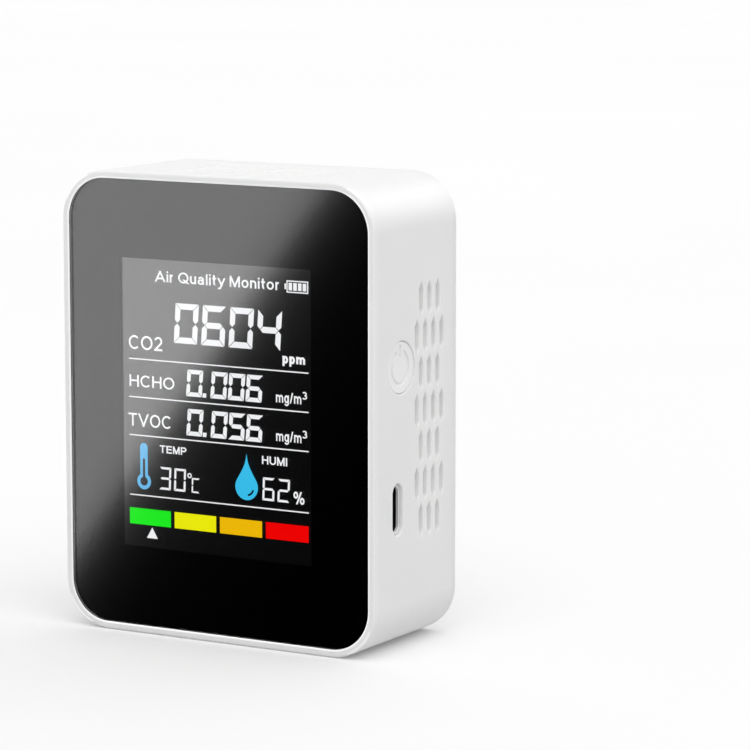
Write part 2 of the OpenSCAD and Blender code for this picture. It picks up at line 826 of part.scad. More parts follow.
module gas_sensor_can() color("silver") difference() {
    bar_y(gas_x, board_back + gas_base_t, gas_z, gas_r - 0.2, gas_can_l);
    bar_y(gas_x, board_back + gas_base_t - cut, gas_z, gas_r - 0.6, gas_can_l - 0.4 + cut);
    bar_y(gas_x, board_back, gas_z, gas_window_r, 10);
}

module gas_sensor_mesh() color("gray") difference() {
    bar_y(gas_x, board_back + gas_base_t + gas_can_l - 0.7, gas_z, gas_r - 0.65, 0.3);
    for (ring = [0:2], i = [0:max(6 * ring - 1, 0)]) {
        a = 360 * i / max(6 * ring, 1);
        bar_y(gas_x + mesh_pitch * ring * cos(a), board_back + gas_can_l,
            gas_z + mesh_pitch * ring * sin(a), 0.35, 2);
    }
}

// ---------------------------------------------------------------- battery

module battery_cell() color("silver")
    shaped_block(cell_w, cell_h, cell_corner_r,
        concat(front_edge(cell_round, cell_front), rear_edge(cell_round, cell_back)),
        x = cell_x, z = cell_z);

module battery_pad() color([0.2, 0.2, 0.2])
    centred_block(cell_x, cell_back, cell_z, [cell_w - 6, pad_t, cell_h - 8]);

module battery_protection_board() color("darkgreen")
    centred_block(cell_x, cell_front + 3.5, protection_z - protection_h / 2,
        [20, 1, protection_h]);

// Two-way board header and the plug in it; the plug's leads leave towards the back
header_w = 7.5;
header_l = 5.8;
header_t = 6;
header_wall = 0.8;
plug_front = board_back + 1.2;
plug_t = 6.5;
lead_hole_r = 0.65;
lead_hole_front = board_back + 4.7;
module header(x, z) difference() {
    centred_block(x, board_back, z, [header_w, header_t, header_l]);
    centred_block(x, board_back + 1, z,
        [header_w - 2 * header_wall, header_t, header_l - 2 * header_wall]);
}
module plug(x, z) difference() {
    centred_block(x, plug_front, z, [header_w - 1.8, plug_t, header_l - 1.8]);
    for (s = [-1, 1]) bar_y(x + s, lead_hole_front, z, lead_hole_r, plug_t);
}

battery_plug_x = 12;
battery_plug_z = 58;
battery_lead_r = 0.55;
module battery_header() color("ivory") header(battery_plug_x, battery_plug_z);
module battery_plug() color("white") plug(battery_plug_x, battery_plug_z);

// Lead from the plug down to the cell's protection board, on side -1 or 1
module battery_lead(side) lead([
    [battery_plug_x + side, lead_hole_front + 2 * gap, battery_plug_z],
    [battery_plug_x + side, lead_hole_front + 3.8, battery_plug_z],
    [battery_plug_x + side, lead_hole_front + 6.8, battery_plug_z - 1.5],
    [battery_plug_x - 1 + 1.5 * side, 20, 54],
    [battery_plug_x - 3.5 + 2 * side, 21.1, 51],
    [battery_plug_x - 4 + 2 * side, 21.2, protection_z + 1],
    [battery_plug_x - 4 + 2 * side, 21.2, protection_z + gap]
], battery_lead_r);
module battery_red_lead() color("red") battery_lead(-1);
module battery_black_lead() color([0.1, 0.1, 0.1]) battery_lead(1);

// ---------------------------------------------------------------- speaker

module speaker_frame() color([0.2, 0.2, 0.2]) difference() {
    bar_y(0, speaker_front, sound_z, speaker_r, speaker_l);
    bar_y(0, speaker_front + speaker_floor, sound_z, speaker_r - speaker_wall, speaker_l);
    bar_y(0, speaker_front - cut, sound_z, magnet_r - 1, speaker_l / 2);
}

module speaker_magnet() color("silver")
    bar_y(0, speaker_front - magnet_l, sound_z, magnet_r, magnet_l);

// Dome and cone of the speaker as [radius, depth] points, front skin out and rear skin back
diaphragm_front = [[0, 0.4], [2.5, 0.2], [4.5, -0.6], [8.5, 0.6], [9.5, 0.9], [10.4, 0.6], [11.2, 0.6]];
diaphragm_rear = [[11.2, 0.9], [10.4, 0.9], [9.5, 1.2], [8.4, 0.9], [4.5, -0.3], [2.5, 0.5], [0, 0.7]];
module speaker_diaphragm() color([0.75, 0.75, 0.78])
    translate([0, speaker_back - diaphragm_sink - case_d / 2, sound_z]) rotate([-90, 0, 0])
        rotate_extrude() polygon(concat(diaphragm_front, diaphragm_rear));

module speaker_gasket() color([0.3, 0.3, 0.3]) difference() {
    bar_y(0, speaker_back, sound_z, speaker_r, gasket_t);
    bar_y(0, speaker_back - cut, sound_z, gasket_r, gasket_t + 2 * cut);
}

speaker_plug_x = 1;
speaker_plug_z = 42;
speaker_lead_r = 0.45;
module speaker_header() color("ivory") header(speaker_plug_x, speaker_plug_z);
module speaker_plug() color("white") plug(speaker_plug_x, speaker_plug_z);

// Lead from the plug up to the speaker's frame, on side -1 or 1
module speaker_lead(side) lead([
    [speaker_plug_x + side, lead_hole_front + 2 * gap, speaker_plug_z],
    [speaker_plug_x + side, lead_hole_front + 2.5, speaker_plug_z],
    [speaker_plug_x + side, lead_hole_front + 3.5, speaker_plug_z],
    [speaker_plug_x - 1.2 + side, 16.2, speaker_plug_z + 1.2],
    [speaker_plug_x - 2 + side, 16.4, speaker_plug_z + 3],
    [speaker_plug_x - 3 + side, 16.5, speaker_plug_z + 8],
    [1.2 * side - 2, 17, 54],
    [1.5 * side - 1, 19, 57.5],
    [1.6 * side, speaker_front - 1, 59],
    [1.6 * side, speaker_front - gap, 59]
], speaker_lead_r);
module speaker_red_lead() color("red") speaker_lead(-1);
module speaker_black_lead() color([0.1, 0.1, 0.1]) speaker_lead(1);

// ---------------------------------------------------------------- drawing

housing();
vent_screens();
back_cover();
front_panel();
panel_mask();
panel_adhesive();
lcd_front_polarizer();
lcd_front_glass();
lcd_rear_glass();
lcd_rear_polarizer();
colour_film();
backlight_guide();
backlight_reflector();
backlight_leds();
lcd_frame();
lcd_contact_strip();
main_board();
board_screws();
power_button();
switch_body();
switch_plunger();
switch_terminals();
usb_shell();
usb_tongue();
usb_contacts();
controller_chip();
controller_legs();
power_chips();
power_inductor();
small_components();
humidity_sensor();
gas_sensor_base();
gas_sensor_can();
gas_sensor_mesh();
co2_board();
co2_header();
co2_pins();
co2_chamber();
co2_filters();
co2_lamp();
co2_detector();
battery_cell();
battery_pad();
battery_protection_board();
battery_header();
battery_plug();
battery_red_lead();
battery_black_lead();
speaker_frame();
speaker_magnet();
speaker_diaphragm();
speaker_gasket();
speaker_header();
speaker_plug();
speaker_red_lead();
speaker_black_lead();
rear_label();
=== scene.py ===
"""Looks of the carbon dioxide monitor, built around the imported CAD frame.

Lengths are metres, or millimetres where a comment says so or a value is multiplied by MM.
"""

import json
import math

import bmesh
import bpy
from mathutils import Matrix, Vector
from mathutils.geometry import delaunay_2d_cdt


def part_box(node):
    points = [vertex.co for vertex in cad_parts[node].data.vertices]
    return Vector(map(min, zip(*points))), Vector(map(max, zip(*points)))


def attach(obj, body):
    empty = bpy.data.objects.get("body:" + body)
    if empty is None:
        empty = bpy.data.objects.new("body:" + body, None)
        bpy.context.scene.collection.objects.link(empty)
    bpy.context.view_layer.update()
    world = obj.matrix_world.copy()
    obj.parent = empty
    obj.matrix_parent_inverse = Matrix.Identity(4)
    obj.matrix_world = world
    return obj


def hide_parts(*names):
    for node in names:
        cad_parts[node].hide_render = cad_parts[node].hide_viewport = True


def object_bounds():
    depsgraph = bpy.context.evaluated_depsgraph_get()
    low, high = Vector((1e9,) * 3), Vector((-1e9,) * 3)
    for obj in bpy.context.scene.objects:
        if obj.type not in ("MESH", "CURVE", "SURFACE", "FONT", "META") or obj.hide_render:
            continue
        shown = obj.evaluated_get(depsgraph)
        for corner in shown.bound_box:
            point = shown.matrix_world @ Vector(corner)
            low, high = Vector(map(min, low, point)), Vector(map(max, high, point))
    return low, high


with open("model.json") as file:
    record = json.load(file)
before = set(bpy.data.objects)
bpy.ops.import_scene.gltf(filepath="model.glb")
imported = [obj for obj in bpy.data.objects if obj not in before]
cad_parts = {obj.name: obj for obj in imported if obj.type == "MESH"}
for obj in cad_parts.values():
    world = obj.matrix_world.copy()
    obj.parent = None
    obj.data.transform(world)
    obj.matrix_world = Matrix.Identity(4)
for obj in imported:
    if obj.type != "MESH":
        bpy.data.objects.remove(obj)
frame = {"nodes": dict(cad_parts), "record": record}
cad_low, cad_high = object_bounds()
MM = 0.001
TAU = 2 * math.pi
NEAR = 0.004 * MM  # how far apart two planes may be and still count as the same

# ---------------------------------------------------------------- camera and key light

CAMERA_PLACE = (0.3433, -0.5460, 0.1409)
CAMERA_FORWARD = (-0.4989, 0.8547, -0.1437)
CAMERA_LENS = 170.4  # millimetres, on a sensor 36 mm wide


def facing(direction):
    """Turn that points a camera's or a light's view along a direction, with its top up."""
    return Vector(direction).to_track_quat("-Z", "Y").to_euler()


def add_camera():
    data = bpy.data.cameras.new("photo_camera")
    data.lens = CAMERA_LENS
    data.sensor_width = 36
    data.clip_start = 0.01
    data.clip_end = 100
    camera = bpy.data.objects.new("photo_camera", data)
    camera.location = CAMERA_PLACE
    camera.rotation_euler = facing(CAMERA_FORWARD)
    bpy.context.scene.collection.objects.link(camera)
    bpy.context.scene.camera = camera


def add_soft_light(name, towards, strength, spread):
    """Very wide distant light that shines along a direction; spread is its angle in degrees."""
    data = bpy.data.lights.new(name, "SUN")
    data.energy = strength
    data.angle = math.radians(spread)
    light = bpy.data.objects.new(name, data)
    light.rotation_euler = facing(towards)
    bpy.context.scene.collection.objects.link(light)


# ---------------------------------------------------------------- mesh helpers


def new_object(name, mesh):
    obj = bpy.data.objects.new(name, mesh)
    bpy.context.scene.collection.objects.link(obj)
    return obj


def from_bmesh(name, bm, smooth=True):
    bmesh.ops.recalc_face_normals(bm, faces=bm.faces)
    mesh = bpy.data.meshes.new(name)
    bm.to_mesh(mesh)
    bm.free()
    if smooth:
        mesh.shade_smooth()
    return new_object(name, mesh)


def add_bevel(obj, width):
    """Rounds the edges that carry a bevel weight."""
    bevel = obj.modifiers.new("edge_rounding", "BEVEL")
    bevel.width = width
    bevel.segments = 3
    bevel.limit_method = "WEIGHT"
    bevel.use_clamp_overlap = False
    bevel.loop_slide = False  # sliding would pull a round hole's edge out of true
    bevel.miter_outer = "MITER_ARC"


def add_weighted_normals(obj):
    normals = obj.modifiers.new("even_normals", "WEIGHTED_NORMAL")
    normals.mode = "FACE_AREA"
    normals.weight = 80
    normals.keep_sharp = True


WELD_DISTANCE = 1e-6
FLAT_ANGLE = math.radians(0.5)  # faces that meet at less are merged
SHARP_ANGLE = math.radians(32)  # edges that turn by more are sharp, or rounded if picked


def refined(node, name, width, rounded):
    """A cleaned copy of a CAD node with some edges rounded; rounded(a, b) picks an edge by its ends."""
    bm = bmesh.new()
    bm.from_mesh(frame["nodes"][node].data)
    bmesh.ops.remove_doubles(bm, verts=bm.verts, dist=WELD_DISTANCE)
    bmesh.ops.dissolve_limit(bm, angle_limit=FLAT_ANGLE, verts=bm.verts, edges=bm.edges)
    weight = bm.edges.layers.float.new("bevel_weight_edge")
    for edge in bm.edges:
        if edge.is_manifold and edge.calc_face_angle(0) > SHARP_ANGLE:
            picked = rounded(*(v.co for v in edge.verts))
            edge[weight] = 1.0 if picked else 0.0
            edge.smooth = picked
    obj = from_bmesh(name, bm)
    add_bevel(obj, width)
    add_weighted_normals(obj)
    return obj


def rounded_outline(w, h, r, steps=24):
    """Points of a rounded rectangle round its centre, anticlockwise."""
    points = []
    for quarter, (sx, sz) in enumerate(((1, 1), (-1, 1), (-1, -1), (1, -1))):
        for i in range(steps + 1):
            a = TAU / 4 * (quarter + i / steps)
            points.append((sx * (w / 2 - r) + r * math.cos(a), sz * (h / 2 - r) + r * math.sin(a)))
    return points


def plate_from_rings(name, rings):
    """Closed plate through rings of equal count, each given as (points, y); both ends are capped."""
    bm = bmesh.new()
    rows = [[bm.verts.new((x, y, z)) for x, z in points] for points, y in rings]
    for a, b in zip(rows, rows[1:]):
        for i in range(len(a)):
            j = (i + 1) % len(a)
            bm.faces.new((a[i], a[j], b[j], b[i]))
    bm.faces.new(rows[0])
    bm.faces.new(rows[-1])
    return from_bmesh(name, bm)


def rounded_plate(name, node, r, edge, back_gap):
    """Rounded plate in the box of a CAD node, with its front edge rounded by a small radius."""
    steps = 4
    low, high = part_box(node)
    w, h = high.x - low.x, high.z - low.z
    centre_z = (high.z + low.z) / 2
    rings = []
    for i in range(steps + 1):
        a = TAU / 4 * i / steps
        inset = edge * (1 - math.sin(a))
        outline = rounded_outline(w - 2 * inset, h - 2 * inset, r - inset)
        rings.append(([(x, z + centre_z) for x, z in outline], low.y + edge * (1 - math.cos(a))))
    rings.append((rings[-1][0], high.y - back_gap))
    obj = plate_from_rings(name, rings)
    add_weighted_normals(obj)
    return obj


# ---------------------------------------------------------------- materials


class Finish:
    """A procedural material: a Principled shader with a few noise-driven inputs."""

    def __init__(self, name, **sockets):
        self.material = bpy.data.materials.new(name)
        self.material.use_nodes = True
        self.tree = self.material.node_tree
        self.shader = self.tree.nodes["Principled BSDF"]
        for label, value in sockets.items():
            self.shader.inputs[label.replace("_", " ")].default_value = value
        self.place = self.node("ShaderNodeTexCoord").outputs["Object"]

    def node(self, kind, **inputs):
        made = self.tree.nodes.new(kind)
        for label, value in inputs.items():
            socket = made.inputs[label.replace("_", " ")]
            if isinstance(value, bpy.types.NodeSocket):
                self.tree.links.new(value, socket)
            else:
                socket.default_value = value
        return made

    def link(self, output, label):
        self.tree.links.new(output, self.shader.inputs[label])

    def stretched(self, stretch):
        return self.node("ShaderNodeMapping", Vector=self.place, Scale=stretch).outputs["Vector"]

    def noise(self, scale, detail=3.0, stretch=None, distortion=0.0):
        """Noise between 0 and 1; scale is in features per metre."""
        place = self.stretched(stretch) if stretch else self.place
        return self.node(
            "ShaderNodeTexNoise", Vector=place, Scale=scale, Detail=detail,
            Roughness=0.55, Distortion=distortion,
        ).outputs["Fac"]

    def cells(self, scale):
        """Distance to the nearest of many scattered points; scale is in points per metre."""
        return self.node("ShaderNodeTexVoronoi", Vector=self.place, Scale=scale).outputs["Distance"]

    def span(self, value, low, high):
        """The middle part of a noise, spread over low to high."""
        node = self.node("ShaderNodeMapRange", Value=value)
        node.inputs["From Min"].default_value = 0.3
        node.inputs["From Max"].default_value = 0.7
        node.inputs["To Min"].default_value = low
        node.inputs["To Max"].default_value = high
        return node.outputs["Result"]

    def shades(self, value, *stops):
        """Colour that runs through stops of (position, colour)."""
        node = self.node("ShaderNodeValToRGB", Fac=value)
        ramp = node.color_ramp
        while len(ramp.elements) < len(stops):
            ramp.elements.new(0.5)
        for element, (position, colour) in zip(ramp.elements, stops):
            element.position = position
            element.color = (*colour, 1)
        return node.outputs["Color"]

    def colour(self, value, *stops):
        self.link(self.shades(value, *stops), "Base Color")
        return self

    def roughness(self, value, low, high):
        self.link(self.span(value, low, high), "Roughness")
        return self

    def bump(self, *heights):
        """Stacks bumps given as (height, depth in metres)."""
        normal = None
        for height, depth in heights:
            inputs = {"Height": height, "Strength": 1.0, "Distance": depth}
            if normal is not None:
                inputs["Normal"] = normal
            normal = self.node("ShaderNodeBump", **inputs).outputs["Normal"]
        self.link(normal, "Normal")
        return self


MICRON = 1e-6


def tint(colour, factor):
    return tuple(min(1.0, c * factor) for c in colour)


def moulded(name, colour, rough=0.42, grain=4 * MICRON, vary=0.03, **sockets):
    """Injection-moulded plastic: fine eroded texture, faint flow marks and uneven gloss."""
    f = Finish(name, **sockets)
    flow = f.noise(28, 4.0, stretch=(1.0, 1.0, 0.45))
    f.colour(flow, (0.3, tint(colour, 1 - vary)), (0.7, tint(colour, 1 + vary)))
    f.roughness(f.noise(420, 5.0), rough - 0.05, rough + 0.05)
    f.bump((f.noise(5200, 2.0), grain), (f.noise(60, 2.0), 4 * grain))
    return f.material


def metal(name, colour, rough, stretch, scale=900, depth=4 * MICRON):
    """Sheet metal with fine drawn lines, smudges and slightly uneven colour."""
    f = Finish(name, Metallic=1.0)
    f.colour(f.noise(300, 4.0), (0.25, tint(colour, 0.92)), (0.75, tint(colour, 1.08)))
    lines = f.noise(scale, 3.0, stretch=stretch)
    f.roughness(lines, rough - 0.09, rough + 0.12)
    f.bump((lines, depth))
    return f.material


def plated_shell_painted_lit():
    """Bead-blasted, bright-plated connector shell with faint drawn lines; its whitish colour is partly
    painted light, the lit copy of the shell whose deeper part is painted shade.
    """
    f = Finish("plated_shell_painted_lit", Metallic=0.3)
    f.colour(f.noise(600, 3.0), (0.3, (0.90, 0.90, 0.91)), (0.7, (0.95, 0.95, 0.96)))
    lines = f.noise(900, 3.0, stretch=(20, 1, 1))
    f.roughness(lines, 0.30, 0.44)
    f.bump((lines, 2 * MICRON))
    return f.material


def film(name, low, high, rough=0.2):
    """Thin printed or optical film with a faint dot structure."""
    f = Finish(name)
    f.colour(f.cells(2500), (0.1, low), (0.6, high))
    f.roughness(f.noise(200, 4.0), rough - 0.05, rough + 0.08)
    f.bump((f.noise(1500, 3.0), 2 * MICRON))
    return f.material


def foam(name, low, high, cell=2600, depth=40 * MICRON, rough=0.9):
    """Open foam, cloth or rubber with a coarse cell structure."""
    f = Finish(name)
    cells = f.cells(cell)
    f.colour(cells, (0.05, low), (0.7, high))
    f.roughness(f.noise(900, 3.0), rough - 0.08, min(1.0, rough + 0.08))
    f.bump((cells, depth))
    return f.material


def lit(name, colour, strength):
    """Part of the display that lets the backlight through, with the backlight's slight unevenness."""
    f = Finish(name, Base_Color=(0, 0, 0, 1), Roughness=0.4, Specular_IOR_Level=0.0)
    glow = f.noise(45, 2.0)
    f.link(f.shades(glow, (0.3, tint(colour, 0.95)), (0.7, colour)), "Emission Color")
    f.shader.inputs["Emission Strength"].default_value = strength
    f.bump((f.noise(1200, 2.0), MICRON))
    return f.material


def circuit_board():
    f = Finish("circuit_board")
    brick = f.node("ShaderNodeTexBrick", Vector=f.stretched((1, 1, 1)), Scale=160.0)
    brick.inputs["Color1"].default_value = (0.012, 0.10, 0.045, 1)
    brick.inputs["Color2"].default_value = (0.02, 0.15, 0.06, 1)
    brick.inputs["Mortar"].default_value = (0.03, 0.22, 0.09, 1)
    brick.inputs["Mortar Size"].default_value = 0.05
    f.link(brick.outputs["Color"], "Base Color")
    f.roughness(f.noise(350, 4.0), 0.25, 0.4)
    f.bump((brick.outputs["Fac"], 20 * MICRON), (f.noise(4000, 2.0), 3 * MICRON))
    return f.material


def clear_panel():
    """Clear panel with faint smudges; the smudges only change the gloss."""
    f = Finish("clear_panel", Base_Color=(1, 1, 1, 1), IOR=1.49, Transmission_Weight=1.0)
    f.roughness(f.noise(55, 5.0, distortion=0.6), 0.0, 0.02)
    f.bump((f.noise(25, 1.0), 0.4 * MICRON))
    return f.material


def painted_highlight_bevel():
    """Glossy bevel round the display with a painted highlight: slightly whiter than the case and glowing a
    little with its own light, standing in for light along the chamfer.
    """
    f = Finish("painted_highlight_bevel", IOR=1.6, Coat_Weight=0.6)
    f.colour(f.noise(90, 2.0), (0.3, (0.94, 0.94, 0.94)), (0.7, (0.96, 0.96, 0.96)))
    f.roughness(f.noise(500, 3.0), 0.12, 0.2)
    # painted highlight: the bevel glows though nothing lights it
    f.link(f.shades(f.noise(40, 2.0), (0.3, (0.95, 0.95, 0.95)), (0.7, (1, 1, 1))), "Emission Color")
    f.shader.inputs["Emission Strength"].default_value = 0.22
    return f.material


def black_print():
    f = Finish("black_print", Specular_IOR_Level=0.0)
    f.colour(f.noise(3500, 2.0), (0.3, (0.0002, 0.0002, 0.0002)), (0.7, (0.0008, 0.0008, 0.0009)))
    f.roughness(f.noise(500, 3.0), 0.5, 0.7)
    f.bump((f.noise(5000, 2.0), MICRON))
    return f.material


def polarizer_film():
    """Dark display surface: glossy, with the faint glow of a backlight that it doesn't quite stop."""
    f = Finish("polarizer_film", IOR=1.70)
    f.colour(f.noise(3000, 2.0), (0.3, (0.0012, 0.0012, 0.0014)), (0.7, (0.0024, 0.0024, 0.0028)))
    f.roughness(f.noise(300, 4.0), 0.02, 0.06)
    f.link(f.shades(f.noise(30, 2.0), (0.3, (0.8, 0.85, 1.0)), (0.7, (1, 1, 1))), "Emission Color")
    f.shader.inputs["Emission Strength"].default_value = 0.002
    f.bump((f.noise(2200, 2.0), 0.2 * MICRON))
    return f.material


def glass(name, colour, rough=0.05):
    f = Finish(name, IOR=1.5, Transmission_Weight=0.85)
    f.colour(f.noise(120, 3.0), (0.3, tint(colour, 0.94)), (0.7, colour))
    f.roughness(f.noise(240, 4.0), max(0.0, rough - 0.04), rough + 0.06)
    f.bump((f.cells(1400), 2 * MICRON))
    return f.material


def silver_label():
    """Silver polyester label: fine brushing along its width, a clear top coat and faint print haze."""
    f = Finish("silver_label", Metallic=0.75, Coat_Weight=0.3, Coat_Roughness=0.25)
    lines = f.noise(700, 4.0, stretch=(0.06, 1, 6))
    f.colour(lines, (0.3, (0.60, 0.61, 0.63)), (0.7, (0.72, 0.73, 0.75)))
    f.roughness(lines, 0.30, 0.42)
    f.bump((lines, 2 * MICRON), (f.noise(90, 2.0), 10 * MICRON))
    return f.material


def make_materials():
    white = (0.92, 0.92, 0.922)
    return {
        "white_plastic": moulded(
            "white_plastic", white, rough=0.44, grain=3.5 * MICRON, vary=0.012, Subsurface_Weight=1.0,
            Subsurface_Radius=(1.0, 1.0, 0.95), Subsurface_Scale=0.7 * MM),
        "button_plastic": moulded(
            "button_plastic", tint(white, 1.02), rough=0.36, grain=2 * MICRON, vary=0.01),
        "painted_highlight_bevel": painted_highlight_bevel(),
        "clear_panel": clear_panel(),
        "black_print": black_print(),
        "foam_tape": foam("foam_tape", (0.015, 0.015, 0.016), (0.05, 0.05, 0.052)),
        "polarizer_film": polarizer_film(),
        "display_glass": glass("display_glass", (0.75, 0.8, 0.85)),
        "printed_film": film("printed_film", (0.75, 0.6, 0.12), (0.9, 0.75, 0.25)),
        "light_guide": glass("light_guide", (0.92, 0.95, 0.98), rough=0.12),
        "white_film": film("white_film", (0.82, 0.82, 0.82), (0.92, 0.92, 0.92), rough=0.45),
        "ivory_plastic": moulded("ivory_plastic", (0.82, 0.77, 0.64), rough=0.48),
        "frame_plastic": moulded("frame_plastic", (0.86, 0.86, 0.84), rough=0.5),
        "contact_rubber": foam(
            "contact_rubber", (0.16, 0.18, 0.2), (0.3, 0.32, 0.36), cell=5000, depth=10 * MICRON),
        "circuit_board": circuit_board(),
        "zinc_steel": metal("zinc_steel", (0.68, 0.68, 0.66), rough=0.3, stretch=(1, 1, 30)),
        "black_plastic": moulded("black_plastic", (0.022, 0.022, 0.023), rough=0.45, vary=0.15),
        "tan_plastic": moulded("tan_plastic", (0.58, 0.4, 0.19), rough=0.5),
        "tinned_metal": metal("tinned_metal", (0.74, 0.74, 0.75), rough=0.35, stretch=(1, 1, 4)),
        "steel_sheet": metal("steel_sheet", (0.66, 0.66, 0.67), rough=0.25, stretch=(20, 1, 1)),
        # the connector shell in two copies: partly painted light near its mouth, painted shade deeper in
        "plated_shell_painted_lit": plated_shell_painted_lit(),
        "painted_shade_steel": metal("painted_shade_steel", (0.05, 0.05, 0.052), rough=0.4, stretch=(20, 1, 1)),
        "steel_mesh": metal(
            "steel_mesh", (0.46, 0.46, 0.46), rough=0.45, stretch=(1, 1, 1), scale=4000, depth=30 * MICRON),
        "gold_contacts": metal("gold_contacts", (0.85, 0.62, 0.26), rough=0.2, stretch=(12, 1, 1)),
        "gold_plated": metal("gold_plated", (0.8, 0.6, 0.27), rough=0.25, stretch=(1, 1, 12)),
        "chip_epoxy": moulded("chip_epoxy", (0.03, 0.03, 0.034), rough=0.6, grain=10 * MICRON, vary=0.12),
        "ferrite": foam(
            "ferrite", (0.06, 0.06, 0.065), (0.12, 0.12, 0.13), cell=3500, depth=20 * MICRON, rough=0.7),
        "ceramic_parts": moulded("ceramic_parts", (0.48, 0.36, 0.24), rough=0.45, vary=0.12),
        "filter_membrane": foam(
            "filter_membrane", (0.82, 0.82, 0.8), (0.92, 0.92, 0.9), cell=6000, depth=20 * MICRON),
        "lamp_glass": glass("lamp_glass", (0.95, 0.93, 0.8)),
        "battery_foil": metal(
            "battery_foil", (0.72, 0.73, 0.75), rough=0.35, stretch=(1, 1, 2), scale=220, depth=60 * MICRON),
        "red_insulation": moulded("red_insulation", (0.55, 0.025, 0.018), rough=0.4, vary=0.08),
        "black_insulation": moulded("black_insulation", (0.025, 0.025, 0.026), rough=0.4, vary=0.15),
        "magnet_steel": metal("magnet_steel", (0.6, 0.6, 0.62), rough=0.32, stretch=(8, 1, 8)),
        "diaphragm_film": film("diaphragm_film", (0.035, 0.035, 0.04), (0.06, 0.06, 0.065), rough=0.3),
        "silver_label": silver_label(),
    }


def coat(obj, material):
    obj.data.materials.clear()
    obj.data.materials.append(material)


def add_piece(obj, material, body="case"):
    coat(obj, material)
    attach(obj, body)
    return obj


# ---------------------------------------------------------------- case


HOUSING_EDGE = 0.24 * MM
COVER_EDGE = 0.10 * MM
RIM_CHAMFER = 0.4 * MM  # the chamfer round the front panel reaches less far than this
MOUTH_EDGE = 0.13 * MM
PAINTED_LIT_DEPTH = 0.55 * MM  # how far in the connector's shell is painted lit; deeper in it is painted shade
FACING = 0.999  # a normal with a larger share along an axis points along it


def on_outer_wall(*ends):
    """Whether an edge lies on the case's outer side or top faces."""
    side = all(abs(abs(p.x) - cad_high.x) < NEAR for p in ends)
    top = all(abs(p.z - cad_high.z) < NEAR for p in ends)
    return side or top


def on_back_face(*ends):
    return all(abs(p.y - cad_high.y) < NEAR for p in ends)


def housing_edge(*ends):
    return on_outer_wall(*ends) or on_back_face(*ends)


def add_case(materials):
    shell = refined("housing", "case_shell", HOUSING_EDGE, housing_edge)
    add_piece(shell, materials["white_plastic"])
    # second slot: the bevel with the painted highlight, for the chamfer round the front panel
    shell.data.materials.append(materials["painted_highlight_bevel"])
    panel_low, panel_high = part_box("front_panel")
    for face in shell.data.polygons:
        x, y, z = face.center
        beside_panel = (
            abs(x) < panel_high.x + RIM_CHAMFER
            and panel_low.z - RIM_CHAMFER < z < panel_high.z + RIM_CHAMFER
        )
        if beside_panel and y < panel_low.y and abs(face.normal.y) < FACING:
            face.material_index = 1
    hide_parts("housing")
    cover = refined("back_cover", "rear_cover", COVER_EDGE, on_back_face)
    add_piece(cover, materials["white_plastic"])
    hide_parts("back_cover")


def add_usb_mouth(materials):
    """Receptacle shell with a rolled mouth, painted lit near the mouth and painted shade deeper inside."""
    mouth_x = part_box("usb_shell")[1].x

    def at_mouth(*ends):
        return all(abs(p.x - mouth_x) < NEAR for p in ends)

    mouth = refined("usb_shell", "usb_mouth", MOUTH_EDGE, at_mouth)
    # faces deeper in than this get painted shade, a dark copy of the shell's metal
    painted_shade_from = mouth_x - PAINTED_LIT_DEPTH
    bm = bmesh.new()
    bm.from_mesh(mouth.data)
    bmesh.ops.bisect_plane(
        bm, geom=bm.verts[:] + bm.edges[:] + bm.faces[:], plane_co=(painted_shade_from, 0, 0), plane_no=(1, 0, 0))
    bm.to_mesh(mouth.data)
    bm.free()
    add_piece(mouth, materials["plated_shell_painted_lit"])
    # second slot: painted shade for the shell deeper inside
    mouth.data.materials.append(materials["painted_shade_steel"])
    for face in mouth.data.polygons:
        if face.center.x < painted_shade_from:
            face.material_index = 1
    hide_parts("usb_shell")


# ---------------------------------------------------------------- power button


def soft_step(value, edge, width):
    """0 below edge, 1 above edge + width, smooth between."""
    t = min(1.0, max(0.0, (value - edge) / width))
    return t * t * (3 - 2 * t)


def groove(y, z):
    """Depth share of the engraved power symbol at a point of the cap, from its centre, in millimetres."""
    half, soft = 0.22, 0.08  # half width of a line, and the width of its sloping sides
    ring_r, gap_half = 2.95, 1.15
    bar_low, bar_high = 1.9, 4.0
    r = math.hypot(y, z)
    ring = 1 - soft_step(abs(r - ring_r), half, soft)
    if z > 0:
        ring *= soft_step(abs(y), gap_half, soft)
    bar = 1 - soft_step(abs(y), half, soft)
    bar *= soft_step(z, bar_low - soft, soft) * (1 - soft_step(z, bar_high, soft))
    return max(ring, bar)


